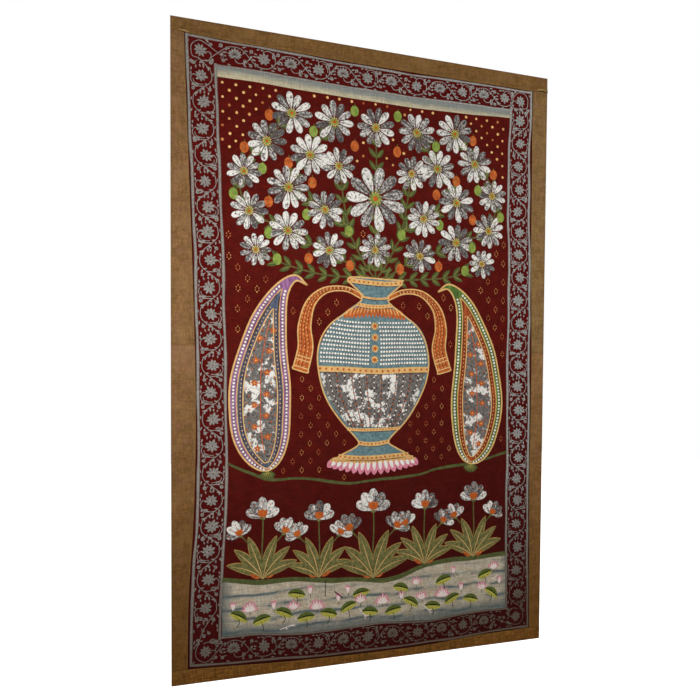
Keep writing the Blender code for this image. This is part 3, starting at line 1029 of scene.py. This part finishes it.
pale = Coat("paint_pale_wash", FIRST_COAT, clay_wash())
level_band(pale, lambda along: olive_course("lower", along),
           lambda along: end_line("bottom_inner", along) - 4, columns=20)
pale.done()

olive = Coat("paint_olive_lines", SECOND_COAT, matt_paint("olive_green", "#636a3c", "#4b522e"))
for line, half_width in OLIVE_HALF_WIDTHS.items():
    level_band(olive, lambda along: olive_course(line, along) - half_width,
               lambda along: olive_course(line, along) + half_width + 1.5 * np.sin(along / 41), columns=3)
olive.done()


# The spray of flowers
# The field holds a spray of open flowers, built up as such a cloth is painted: silver leaf laid on
# gum for the petals, flat pigment for leaves and fruit, and last the fine lines and raised dots.
# The leaf has tarnished and flaked, so it shows white, grey and nearly black.
PETALS = 11
TOP_COAT = FOURTH_COAT + 0.1
picture = []


def freehand(places):
    """Shift places a little, as a hand that draws without a ruler does."""
    along, down = np.asarray(places, float).T
    return course(along + 1.6 * np.sin(down / 37 + along / 83), down + 1.6 * np.sin(along / 41 - down / 71))


def coat_of(material, name, height):
    """Start a coat of the picture that fills the field."""
    coat = Coat(name, height, material)
    coat.lay = freehand
    picture.append(coat)
    return coat


def flaked_leaf(name, patch, held, soft, ragged, grey, streaked=0.0, worn=0.56):
    """Tin-silver leaf on gum: bright where it holds, grey where it has tarnished, bare in flakes.

    A streaked one differs from petal to petal, in streaks along the petal, with a dark outline."""
    material = new_material(name, 0.55)
    tone, across, run = (add_node(material, "Attribute", attribute_name=fact).outputs["Fac"]
                         for fact in ("tone", "across", "run"))
    along_petal = add_node(material, "Mapping", Scale=(2.6, 1.1, 60.0),
                           Vector=add_node(material, "CombineXYZ", X=across, Y=run, Z=tone))
    streaks = add_node(material, "TexNoise", Vector=along_petal, Scale=1.0, Detail=3.0)
    own = add_node(material, "MixRGB", Fac=0.4, Color1=streaks, Color2=tone)
    uneven = add_node(material, "MixRGB", Fac=streaked, Color2=own,
                      Color1=clouds(material, patch, 8.0, seat=7.5, ragged=ragged))
    share = add_node(material, "MapRange", Value=uneven, From_Min=held, From_Max=held + soft)
    specks = clouds(material, 6.0, 6.0, seat=15.0, ragged=0.75)
    tarnished = mottled(material, linear(grey), specks, 0.36, 0.64, 0.5, 1.35)
    rubbed = clouds(material, 14.0, 5.0, seat=23.0, ragged=0.7)
    tarnished = shaded(material, tarnished, rubbed, 0.56, 0.66, "#b9b3aa", 0.6)
    colour = add_node(material, "MixRGB", Fac=share, Color1=linear("#f6f2ea"), Color2=tarnished)
    flakes = clouds(material, 10.0, 8.0, seat=2.5)
    colour = shaded(material, colour, flakes, worn, worn + 0.05, "#3a2e2e", 0.85)
    for edge in (1, -1):
        colour = shaded(material, colour, across, 0.78 * edge, edge, "#4a3f40", 0.2 + 0.4 * streaked)
    return aged(material, colour, 0.03, 0.5)


petals = coat_of(flaked_leaf("flaked_silver_leaf", patch=8.0, held=0.43, soft=0.14, ragged=0.6,
                             grey="#625c5a", streaked=0.5), "paint_silver_petals", SECOND_COAT)
petal_lines = coat_of(matt_paint("dark_maroon_lines", "#47130f", "#38100d"), "paint_dark_lines", THIRD_COAT)
stems = coat_of(matt_paint("moss_green_stems", "#6d6a3a", "#50522c"), "paint_stems", FIRST_COAT)
leaves = coat_of(matt_paint("leaf_green", "#5b6a38", "#43502c"), "paint_leaves", FIRST_COAT)
leaf_lights = coat_of(matt_paint("leaf_yellow", "#a89c50", "#84823e"), "paint_leaf_lights", SECOND_COAT)
ochre = coat_of(matt_paint("orpiment_yellow", "#f7c983", "#dcab68"), "paint_ochre_lines", THIRD_COAT)
ochre_high = coat_of(matt_paint("orpiment_yellow_high", "#f9ce8c", "#e0b070"),
                     "paint_ochre_details", TOP_COAT)
orange = coat_of(matt_paint("red_lead_orange", "#e07a3a", "#a94a22"), "paint_orange", SECOND_COAT)
orange_high = coat_of(matt_paint("red_lead_dots", "#d8702e", "#ba5522"), "paint_orange_details", FOURTH_COAT)
green = coat_of(matt_paint("fruit_green", "#a5b655", "#6e8a3a"), "paint_green_fruit", SECOND_COAT)
BLOSSOMS = table(
    "aside down radius",
    (0, 290, 76), (0, 560, 120), (0, 752, 64), (166, 292, 76), (326, 278, 76), (148, 450, 66),
    (256, 422, 76), (418, 388, 74), (498, 506, 64), (338, 546, 78), (198, 618, 70), (482, 645, 68),
    (338, 704, 74), (184, 766, 66), (456, 780, 58))
FRUITS = table(
    "aside down coat",
    (84, 372, orange), (246, 334, green), (408, 296, orange), (336, 460, orange), (432, 488, green),
    (250, 524, orange), (412, 606, orange), (268, 640, green), (108, 690, green), (408, 720, green),
    (262, 800, orange), (380, 812, green), (88, 240, green), (500, 420, orange), (536, 588, green),
    (100, 820, orange))
BRANCHES = (
    ((0, 868), (0, 752), (0, 560), (0, 290)),
    ((10, 866), (70, 838), (130, 798), (184, 766), (262, 742), (338, 704), (414, 678), (482, 645),
     (512, 575), (508, 506), (474, 440), (418, 388), (372, 330), (326, 278)),
    ((5, 862), (48, 800), (100, 710), (150, 645), (198, 618), (268, 584), (338, 546), (306, 482),
     (256, 422), (208, 352), (166, 292)),
    ((12, 868), (110, 862), (240, 852), (360, 826), (456, 780)),
    ((100, 710), (122, 600), (136, 520), (148, 450)))


def mirrored(places, side):
    """Move points, measured from the middle of the cloth, to one side of it."""
    return np.array(places) * (side, 1) + (CENTRE, 0)


def heading_of(way):
    return math.degrees(math.atan2(way[0], -way[1]))


def blossom(along, down, radius, turn=0.0):
    """Paint an open flower in silver leaf round a green heart ringed with yellow dots."""
    for petal in range(PETALS):
        heading = turn + 360 * petal / PETALS
        start = (along, down) + 0.17 * radius * toward(heading)
        length = radius * (0.83 + brush.uniform(-0.04, 0.04))
        tone = brush.uniform(0, 1)
        petals.leaf(start, heading, length, radius * 0.17, fullest=0.68, bend=brush.uniform(-0.06, 0.06),
                    columns=4, steps=12, tip=0.5, tone=tone)
        petal_lines.leaf(start, heading, length * 0.5, 0.9)
    for coat, share in ((leaves, 0.22), (green, 0.17), (orange_high, 0.085)):
        coat.dot(along, down, radius * share)
    for bead in range(PETALS):
        ochre.dot(*(along, down) + 0.19 * radius * toward(360 * bead / PETALS), 2.6)


def leafy_branch(points, side):
    """Paint a branch with pairs of leaves along it."""
    spine = smooth(mirrored(points, side), 6)
    stems.stroke(spine, np.linspace(4.0, 2.2, len(spine)))
    for place in range(6, len(spine) - 4, 8):
        heading = heading_of(spine[place + 1] - spine[place - 1])
        for lean in (-1, 1):
            leaves.leaf(spine[place], heading + lean * 50, 44, 9.5, fullest=0.42, bend=-0.18 * lean,
                        columns=2)
            leaf_lights.leaf(spine[place], heading + lean * 48, 37, 1.4, bend=-0.2 * lean)


def fruit(along, down, coat):
    """Paint a hanging fruit with a short stalk and a yellow glint."""
    stems.stroke(smooth([(along, down - 28), (along + 3, down - 18), (along, down - 10)], 4), 1.5)
    coat.dot(along, down, 16.5, tall=1.26)
    leaf_lights.leaf((along - 4, down + 9), 8, 17, 2.0)


for side in (-1, 1):
    for points in BRANCHES:
        leafy_branch(points, side)
    for flower in BLOSSOMS:
        if flower.aside or side > 0:
            blossom(CENTRE + side * flower.aside, flower.down, flower.radius, turn=side * 8)
    for hanging in FRUITS:
        fruit(CENTRE + side * hanging.aside, hanging.down, hanging.coat)


# The vase
# The flowers stand in a tall grey-blue vase. Its shoulder is sewn over with rows of raised white
# dots, its lower body is silver leaf with fine upright lines, and yellow bands bind its neck,
# waist and foot. A cloth is tied round the neck, and it stands on a ring of pink petals.
VASE = table(
    "down half_width",
    (862, 100), (874, 110), (892, 92), (922, 60), (950, 58), (985, 104), (1040, 174), (1105, 214),
    (1180, 226), (1260, 212), (1340, 178), (1410, 130), (1455, 86), (1480, 64), (1496, 62), (1516, 94),
    (1540, 140), (1550, 144))
VASE_BANDS = table(
    "down half_height", (872, 9), (932, 4), (962, 7), (1206, 11), (1434, 6), (1488, 8), (1540, 9))
BAND_BOW = 8.0
SILVER_RUN = (1212, 1432)
SILVER_INSET = 9
PEARL_FIRST_DOWN = 1024
PEARL_ROWS = 11
PEARL_ROW_PITCH = 15.5
PEARL_INSET = 13
PEARL_GAP = 11.5
PEARL_RADIUS = 4.4
RIBS = 13
COLLAR_DOWN = 966
COLLAR_PITCH = 12.5
RING_DOWN = 1554
RING_PITCH = 22
RING_REACH = 172
JEWELS = 4
JEWEL_FIRST_DOWN = 1044
JEWEL_PITCH = 42
BODY_SILVER_COAT = SECOND_COAT + 0.08
teal = coat_of(matt_paint("indigo_grey", "#7d9c9d", "#547078", 12.0, bare=0.63), "paint_teal", SECOND_COAT)
pearls = coat_of(matt_paint("chalk_white", "#fffcf6", "#efe8da", bare=0.74), "paint_white_dots", FOURTH_COAT)
pink = coat_of(matt_paint("lac_pink", "#f19aac", "#da7f95"), "paint_pink", SECOND_COAT)
vase_silver = coat_of(flaked_leaf("flaked_silver_body", patch=46.0, held=0.43, soft=0.025, ragged=0.66,
                                  grey="#78726d"), "paint_vase_silver", BODY_SILVER_COAT)


def vase_half_width(down):
    return read_curve(VASE, "down", "half_width", down)


def bowed(down, reach):
    """Give a course across the vase that bows as a ring on a round body looks."""
    across = np.linspace(-1, 1, 40)
    return course(CENTRE + reach * across, down + BAND_BOW * (1 - across**2))


def outline(coat, spine, half_width, line_half_width):
    """Paint a line round a stroke's shape."""
    reach = beside(spine) * np.asarray(half_width)[:, None]
    rim = np.concatenate([spine + reach, (spine - reach)[::-1], (spine + reach)[:1]])
    coat.stroke(smooth(rim, 7), line_half_width)


def row_of_dots(coat, places, radius, gap):
    """Dab dots at even steps along a course, the white ones each on a dark ring."""
    for along, down in smooth(places, gap):
        coat.dot(along, down, radius * brush.uniform(0.9, 1.1))
        if coat is pearls:
            petal_lines.dot(along + 0.6, down + 0.6, radius + 0.9)


def painted_vase():
    """Paint the vase's body, then its silver, rows of dots, ribs and bands."""
    down = np.linspace(VASE[0].down, VASE[-1].down, 120)
    teal.stroke(course(CENTRE, down), vase_half_width(down), 24)
    outline(ochre, course(CENTRE, down), vase_half_width(down), 2.8)
    lower = np.linspace(*SILVER_RUN, 50)
    silver_reach = vase_half_width(lower) - SILVER_INSET
    vase_silver.stroke(course(CENTRE, lower), silver_reach, 24)
    for rib in np.linspace(-0.86, 0.86, RIBS):
        line = course(CENTRE + rib * silver_reach, lower + BAND_BOW * (1 - rib**2))
        petal_lines.stroke(line, 1.3)
        row_of_dots(orange_high if round(rib * 7) % 2 else pearls, line[4:-4], 3.2, 21)
    for level in PEARL_FIRST_DOWN + PEARL_ROW_PITCH * np.arange(PEARL_ROWS):
        row = bowed(level, float(vase_half_width(level)) - PEARL_INSET)
        for half in (row[:18], row[22:]):
            row_of_dots(pearls, half, PEARL_RADIUS, PEARL_GAP)
    for collar in range(-8, 9):
        base = (CENTRE + COLLAR_PITCH * collar, COLLAR_DOWN + 0.35 * abs(collar) ** 1.7)
        orange.leaf(base, 180 - 4 * collar, 46, 8.5, columns=2)
        ochre.leaf(base, 180 - 4 * collar, 30, 2.0)
    for band in VASE_BANDS:
        reach = float(vase_half_width(band.down)) + 1
        ochre.stroke(bowed(band.down, reach), band.half_height, 2)
        petal_lines.stroke(bowed(band.down + band.half_height + 2, reach - 2), 1.0)
        row_of_dots(orange_high, bowed(band.down, reach - 8), band.half_height * 0.42, band.half_height * 2.1)
    for level in JEWEL_FIRST_DOWN + JEWEL_PITCH * np.arange(JEWELS):
        ochre.dot(CENTRE, level, 14)
        orange_high.dot(CENTRE, level, 7)
        for turn in range(8):
            petal_lines.dot(*(CENTRE, level) + 10.5 * toward(90 + 45 * turn), 1.6)


def neck_cloth(side):
    """Paint the cloth tied at the vase's neck, whose ends hang in folds beside its shoulder."""
    spine = smooth(mirrored([(54, 934), (120, 906), (196, 914), (254, 968), (276, 1050), (270, 1128),
                             (292, 1216)], side), 7)
    half_width = 8 + 20 * ease((np.linspace(0, 1, len(spine)) - 0.15) / 0.7)
    orange.stroke(spine, half_width, 6)
    outline(ochre, spine, half_width, 2.6)
    aside = beside(spine)
    for fold in (-0.5, 0.0, 0.5):
        line = spine + aside * (half_width * fold)[:, None]
        petal_lines.stroke(line[6:-2], 0.9)
        row_of_dots(ochre_high, line[8:-3] + aside[8:-3] * 4, 2.2, 15)
    for bar in (3, 7, 9):
        ends = [spine[-bar] + edge * aside[-bar] * half_width[-bar] for edge in (-1, 1)]
        ochre_high.stroke(smooth(ends, 7), 2.2)


def petal_ring():
    """Paint the ring of pink petals under the vase, with a yellow rim."""
    for petal in range(-7, 8):
        base = (CENTRE + RING_PITCH * petal, RING_DOWN)
        pink.leaf(base, 180 - 7 * petal, 60 - 0.4 * petal**2, 14.5, fullest=0.5, columns=4, tip=0.7)
        pearls.leaf((base[0], base[1] + 8), 180 - 7 * petal, 35 - 0.3 * petal**2, 7.6, fullest=0.36)
        petal_lines.leaf(base, 180 - 7 * petal, 40, 0.8)
    ochre.stroke(bowed(RING_DOWN + 2, RING_REACH), 5.5, 2)
    row_of_dots(orange_high, bowed(RING_DOWN + 2, RING_REACH - 6), 2.4, 12)


for side in (-1, 1):
    neck_cloth(side)
painted_vase()
petal_ring()


# The two paisleys
# A tall bent drop stands on each side of the vase, in bands of colour inside one another: a
# dyed rim set with white dots, pleated lines, and a core of flaked silver with a flowering sprig.
PAISLEY = ((412, 1586), (432, 1470), (440, 1330), (432, 1180), (408, 1040), (366, 930), (312, 878),
           (262, 902))
PAISLEY_HALF_WIDTH = 112.0
RIM_WIDTH = 26.0
DOTS_INSET = 38
CORE_INSET = 48.0
lilac, slate, grass, rust = (
    coat_of(matt_paint(pigment, colour, shade, 9.0, drawn=5.0), name, height)
    for pigment, colour, shade, name, height in (
        ("madder_lilac", "#b37fae", "#75476f", "paint_lilac", FIRST_COAT),
        ("slate_blue", "#6a7285", "#3c4252", "paint_slate", SECOND_COAT),
        ("grass_green", "#7a9a48", "#40592a", "paint_grass", FIRST_COAT),
        ("rust_orange", "#c86434", "#7a3119", "paint_rust", SECOND_COAT)))
core = coat_of(flaked_leaf("flaked_silver_core", patch=42.0, held=0.44, soft=0.025, ragged=0.66,
                           grey="#78726d"), "paint_paisley_cores", BODY_SILVER_COAT)


def drop_widths(count, half_width, fullest=0.3, back=0.55):
    """Give a bent drop's half widths along its spine: round at its foot, drawn out to its tip."""
    share = np.linspace(0, 1, count)
    front = back * (1 - fullest) / fullest
    return half_width * share**back * (1 - share)**front / (fullest**back * (1 - fullest)**front)


def paisley(side, rim, field):
    """Paint one paisley, from its rim inward."""
    spine = smooth(mirrored(PAISLEY, side), 8)
    widths = drop_widths(len(spine), PAISLEY_HALF_WIDTH)
    aside = beside(spine)

    def inset(reach):
        return spine + aside * reach[:, None]

    rim.stroke(spine, widths, 14)
    outline(ochre, spine, widths, 3.2)
    inner = widths > RIM_WIDTH
    field.stroke(spine[inner], widths[inner] - RIM_WIDTH, 12)
    outline(ochre, spine[inner], widths[inner] - RIM_WIDTH, 2.0)
    for share in (-0.9, -0.8, 0.8, 0.9):
        petal_lines.stroke(inset((widths - RIM_WIDTH) * share)[inner][3:-3], 0.9)
    heart = widths > CORE_INSET
    core.stroke(spine[heart], widths[heart] - CORE_INSET, 10, tone=0.4)
    outline(ochre_high, spine[heart], widths[heart] - CORE_INSET, 2.0)
    for edge in (-1, 1):
        row_of_dots(pearls, inset(edge * (widths - RIM_WIDTH / 2))[inner], 4.4, 13)
        row_of_dots(ochre_high, inset(edge * (widths - DOTS_INSET))[heart], 2.4, 16)
    for number, place in enumerate(range(4, int(heart.sum()) - 6, 3)):
        for edge in (-1, 1):
            reach = edge * (0.86 - 0.2 * (number % 2)) * (widths - CORE_INSET)
            orange_high.dot(*inset(reach)[heart][place], 3.2)
    sprig, out, lean = spine[heart][4:-6], aside[heart][4:-6], -side
    orange_high.stroke(sprig, 1.6)
    for place in range(3, len(sprig) - 2, 5):
        lean = -lean
        head = sprig[place] + out[place] * lean * 22
        for petal in range(5):
            orange_high.leaf(head, 72 * petal, 13, 4.2, tip=0.5)
        ochre_high.dot(*head, 2.8)
        orange_high.leaf(sprig[place], heading_of(head - sprig[place]), 14, 1.8)
    for blade in range(-3, 4):
        leaves.leaf(spine[0] + (0, 4), 180 + 22 * blade, 34, 8.0, columns=2)
        leaf_lights.leaf(spine[0] + (0, 4), 180 + 22 * blade, 28, 1.3)


paisley(-1, lilac, slate)
paisley(1, grass, rust)


# The flowering plants and the pale band's flowers
# Between the olive lines stand five plants with long curved blades and silver and orange flowers,
# and on the pale band float pink lotus flowers and buds between their bright leaves.
PLANTS = table(
    "aside foot height",
    (-430, 1984, 270), (-215, 1997, 262), (0, 2016, 310), (215, 1978, 262), (430, 1964, 270))
BLADES = (-78, -50, -22, 22, 50, 78)
BLADE_SPREAD = 0.55
BLADE_BEND = 0.4
blade_rims = coat_of(matt_paint("ochre_rims", "#c79d5c", "#a07e44"), "paint_blade_rims", FIRST_COAT)
blades = coat_of(matt_paint("olive_blades", "#8c8a54", "#55522e", 9.0), "paint_blades", SECOND_COAT)


def plant_head(place, tip, radius):
    """Paint a flower seen from its side: silver petals round an orange cup."""
    for petal in (-2, 2, -1, 1, 0):
        heading = tip + 34 * petal
        petals.leaf(place, heading, radius * (1 - 0.06 * abs(petal)), radius * 0.24, fullest=0.62,
                    columns=4, tip=0.5, steps=10, tone=brush.uniform(0, 1))
        petal_lines.leaf(place, heading, radius * 0.7, 1.0)
        orange_high.dot(*place + radius * 0.72 * toward(heading), 2.4)
    for lobe in (-1, 0, 1):
        orange_high.leaf(place, tip + 30 * lobe, radius * 0.42, radius * 0.13)
    blades.dot(*place, radius * 0.16)


def flowering_plant(aside, foot, height):
    """Paint a plant: blades that curve outward, with yellow rims, and a flower on each stem."""
    base = np.array([CENTRE + aside, foot])
    for heading in BLADES:
        lean = heading / BLADES[-1]
        length = height * (0.66 - 0.18 * abs(lean))
        out, bend = heading * BLADE_SPREAD, BLADE_BEND * lean
        blade_rims.leaf(base, out, length + 4, height * 0.062 + 2.4, fullest=0.55, bend=bend, columns=2,
                        steps=14)
        blades.leaf(base, out, length, height * 0.062, fullest=0.55, bend=bend, columns=4, steps=14)
        ochre.leaf(base, out, length * 0.92, 1.4, bend=bend, steps=12)
    for lean in (-1, 0, 1):
        rise = height * (0.86 - 0.24 * abs(lean))
        top = base + (lean * height * 0.30, -rise)
        stems.stroke(smooth([base, base + (lean * height * 0.10, -rise * 0.6), top], 6), 2.6)
        plant_head(top, 26 * lean, height * (0.27 - 0.05 * abs(lean)))
    for side in (-1, 1):
        orange.leaf(base + (side * 12, -4), side * 76, 38, 6.5, bend=-0.3 * side, columns=2)


for plant in PLANTS:
    flowering_plant(*plant)

PADS = table(
    "along down lean",
    (236, 2112, 28), (322, 2134, -14), (404, 2118, 24), (486, 2142, -8), (452, 2050, 10), (574, 2136, 16),
    (652, 2120, -26), (742, 2146, 6), (702, 2070, -12), (838, 2150, -10), (912, 2126, 30), (868, 2066, 14),
    (1004, 2150, 4), (1088, 2128, -24), (1052, 2050, -16), (1172, 2138, 12), (1268, 2118, 34),
    (1236, 2040, -20))
LOTUSES = table(
    "along down petals radius",
    (214, 2084, 3, 27), (276, 2094, 7, 33), (366, 2096, 3, 28), (440, 2104, 5, 30), (528, 2110, 7, 34),
    (612, 2092, 3, 27), (504, 2050, 3, 26), (700, 2104, 5, 31), (792, 2114, 7, 34), (650, 2062, 3, 26),
    (872, 2108, 3, 28), (958, 2116, 5, 31), (1046, 2112, 7, 34), (934, 2054, 5, 27), (1128, 2096, 3, 27),
    (1220, 2100, 5, 31), (1096, 2026, 3, 26), (1276, 2020, 5, 28), (1304, 2082, 3, 27))
PAD_REACH = 34.0
petal_whites = coat_of(matt_paint("pink_white", "#fff4ec", "#f2d6d0", bare=0.74),
                       "paint_pink_whites", THIRD_COAT)
band_leaves = coat_of(matt_paint("dark_leaf_green", "#667432", "#4e5c28"), "paint_band_leaves", SECOND_COAT)
band_lights = coat_of(matt_paint("bright_leaf_green", "#d2c95c", "#aaa848"),
                      "paint_band_lights", FIRST_COAT + 0.1)
band_darks = coat_of(matt_paint("black_green", "#2a3018", "#1e2412"), "paint_band_darks", THIRD_COAT)


def dome(coat, pad, rise, thick, fall=0.0):
    """Paint one bowed part of a leaf that is seen from its side."""
    across = np.sin(np.linspace(-math.pi / 2, math.pi / 2, 14))
    turn = math.radians(pad.lean)
    level, height = PAD_REACH * across, fall - rise * (1 - across**2)
    spine = course(pad.along + level * math.cos(turn) - height * math.sin(turn),
                   pad.down + level * math.sin(turn) + height * math.cos(turn))
    coat.stroke(spine, thick * (1 - across**2) ** 0.6, 2)


def lily_pad(pad):
    """Paint a leaf that lies folded on the water: yellow-green below, dark green above."""
    sway = -0.25 * pad.lean
    band_darks.stroke(smooth([(pad.along, pad.down + 10), (pad.along + 4, pad.down + 24),
                              (pad.along + sway, pad.down + 40)], 5), 1.3)
    dome(band_lights, pad, -1, 10, fall=3)
    dome(band_leaves, pad, 13, 7.5, fall=0)
    dome(band_darks, pad, 5.5, 2.6, fall=1)
    slope = math.tan(math.radians(pad.lean))
    for rib in np.linspace(-0.8, 0.8, 8):
        edge = (pad.along + PAD_REACH * rib, pad.down + 11 * (1 - rib**2) + 2 + PAD_REACH * rib * slope)
        band_lights.dot(*edge, 3.8)
        band_darks.leaf(edge, -38 * rib, 9 * (1 - 0.5 * abs(rib)), 0.7)


def lotus(bloom):
    """Paint a pink water flower or bud with white at the roots of its petals."""
    stems.stroke(smooth([(bloom.along, bloom.down), (bloom.along + 2, bloom.down + 18)], 6), 1.5)
    spread = 10 * bloom.petals if bloom.petals > 3 else 13
    for heading in sorted(np.linspace(-spread, spread, bloom.petals), key=abs, reverse=True):
        length = bloom.radius * (1.26 - 0.22 * abs(heading) / 60) * brush.uniform(0.93, 1.07)
        pink.leaf((bloom.along, bloom.down + 5), heading, length, 5.4, fullest=0.6, columns=2)
        petal_whites.leaf((bloom.along, bloom.down + 4), heading, length * 0.76, 3.8, fullest=0.5)


for pad in PADS:
    lily_pad(pad)
for bloom in LOTUSES:
    lotus(bloom)

# A run of maroon and some rubs and scratches that have marked the band.
for run, half_width in ((((562, 2012), (563, 2044), (561, 2074)), 1.4),
                        (((597, 2056), (612, 2069), (628, 2084)), 2.2)):
    petal_lines.stroke(smooth(run, 5), half_width)
for rub in (((386, 2180), (412, 2173), (442, 2165)), ((408, 2174), (414, 2182)), ((430, 2169), (444, 2172)),
            ((697, 2130), (712, 2150), (730, 2166)), ((720, 2158), (724, 2174)), ((722, 2160), (738, 2160)),
            ((968, 2148), (982, 2162), (998, 2178)), ((984, 2164), (1000, 2166)),
            ((1268, 2066), (1282, 2058), (1296, 2048)), ((1276, 2062), (1288, 2070))):
    petal_whites.stroke(smooth(rub, 5), 1.5)


# The powdered ground
# The maroon that the picture leaves is powdered with small yellow motifs: rows of round dots
# under the sky band, and below them six-dab stars in staggered columns. Many have faded to brown.
DOT_ROWS = 10
DOT_FIRST_ALONG = 178
DOT_LAST_ALONG = 1330
DOT_FIRST_DOWN = 205.0
DOT_ROW_PITCH = 24.6
DOT_PITCH = 47.5
DOT_RADIUS = 4.9
CLEAR_OF_DOT = 12.0
STAR_FIRST_ALONG = 165
STAR_FIRST_DOWN = 462.0
STAR_PITCH = 79.5
STAR_CLOSING = 0.45
STARS_DOWN = 17
STAR_COLUMNS = 36
STAR_COLUMN_PITCH = 33.5
STAR_DABS = table(
    "aside below heading length half_width",
    (0, -8.0, 0, 5.8, 1.8), (7.6, -2.2, -32, 4.6, 1.9), (-7.6, -2.2, 32, 4.6, 1.9),
    (7.4, 2.6, 206, 4.6, 1.9), (-7.4, 2.6, 154, 4.6, 1.9), (0, 7.6, 180, 6.4, 2.3))
CLEAR_OF_STAR = 18.0
taken = np.concatenate([np.concatenate(coat.points) for coat in picture])
powder = Coat("paint_yellow_powder", FIRST_COAT,
              matt_paint("ochre_powder", "#ffd28a", "#f4b86c", bare=0.70, faded="#b0532a"))


def is_clear(along, down, margin):
    """Tell whether a small motif has room on the ground."""
    inside = (side_line("left_inner", down) + margin < along < side_line("right_inner", down) - margin
              and down < olive_course("upper", along) - margin - 4)
    return inside and np.hypot(taken[:, 0] - along, taken[:, 1] - down).min() > margin


for row in range(DOT_ROWS):
    for along in np.arange(DOT_FIRST_ALONG + (row % 2) * DOT_PITCH / 2, DOT_LAST_ALONG, DOT_PITCH):
        down = DOT_FIRST_DOWN + DOT_ROW_PITCH * row + brush.uniform(-2, 2)
        faded = brush.uniform(0, 1) ** 7
        if is_clear(along, down, CLEAR_OF_DOT):
            powder.dot(along + brush.uniform(-2, 2), down, DOT_RADIUS * brush.uniform(0.9, 1.12),
                       tone=faded)
for column in range(STAR_COLUMNS):
    for place in np.arange(0.5 * (column % 2), STARS_DOWN):
        down = STAR_FIRST_DOWN + STAR_PITCH * place - STAR_CLOSING * place**2
        along = STAR_FIRST_ALONG + STAR_COLUMN_PITCH * column + brush.uniform(-2, 2)
        size = 1.0 - 0.16 * float(ease((down - 900) / 500))
        faded = brush.uniform(0.3, 0.8)
        if is_clear(along, down, CLEAR_OF_STAR):
            for dab in STAR_DABS:
                powder.leaf((along + size * dab.aside, down + size * dab.below),
                            dab.heading + brush.uniform(-9, 9), size * dab.length * brush.uniform(0.85, 1.1),
                            size * dab.half_width, steps=6, tip=0.6,
                            tone=min(faded + brush.uniform(0, 0.25), 1))

for coat in picture + [powder]:
    coat.done()


# The studio
# A plain pale floor under the hanging, two broad soft lamps before it, and a white surround
# behind. The camera stands where the photograph was taken from, to the left of its middle.
FLOOR_DOWN = 2.75
FLOOR_REACH = 9.0


def pale_floor():
    """Smooth pale board that glows more and more toward the back, running into the white surround behind the
    hanging.
    """
    material = new_material("pale_board", 0.8)
    shader = material.node_tree.nodes["Principled BSDF"]
    # The floor glows, though it is no lamp, brightest toward the back.
    glow = add_node(material, "MapRange", Value=place_along(material, "Y"), From_Min=-0.25, From_Max=0.05)
    shader.inputs["Base Color"].default_value = linear("#ece9e4")
    shader.inputs["Emission Color"].default_value = linear("#ffffff")
    material.node_tree.links.new(glow.outputs[0], shader.inputs["Emission Strength"])
    corners = np.array([(-1, -1), (1, -1), (1, 1), (-1, 1)], float) * FLOOR_REACH
    points = np.column_stack([corners, np.full(4, -FLOOR_DOWN)])
    return new_mesh("floor", points, [(0, 1, 2, 3)], material, {})


pale_floor()

scene = bpy.context.scene
scene.view_settings.view_transform = "Standard"
camera = bpy.data.objects.new("camera", bpy.data.cameras.new("camera"))
scene.collection.objects.link(camera)
camera.location = (-0.788, -2.274, -1.2445)
camera.rotation_euler = [math.radians(angle) for angle in (88.349, -0.362, -16.939)]
camera.data.lens = 32.16
camera.data.sensor_width = 36.0
camera.data.shift_y = 0.0666
scene.camera = camera

for name, watts, place in (("soft_key", 13.0, (-0.795, -1.35, -0.923)),
                           ("soft_fill", 30.0, (1.4, -2.38, -0.302))):
    light = bpy.data.lights.new(name, "AREA")
    light.energy = watts
    light.size = 0.9
    lamp = bpy.data.objects.new(name, light)
    scene.collection.objects.link(lamp)
    lamp.location = place
    lamp.rotation_euler = (math.radians(90), 0, 0)
    lamp.visible_camera = False

world = bpy.data.worlds.new("studio")
scene.world = world
world.use_nodes = True
around = add_node(world, "TexCoord").outputs["Generated"]
behind = add_node(world, "SeparateXYZ", Vector=around).outputs["Y"]
glow = add_node(world, "MapRange", Value=behind, From_Min=-0.05, From_Max=0.25, To_Min=0.07, To_Max=1.0)
backdrop = world.node_tree.nodes["Background"]
backdrop.inputs["Color"].default_value = (1, 1, 1, 1)
world.node_tree.links.new(glow.outputs[0], backdrop.inputs["Strength"])
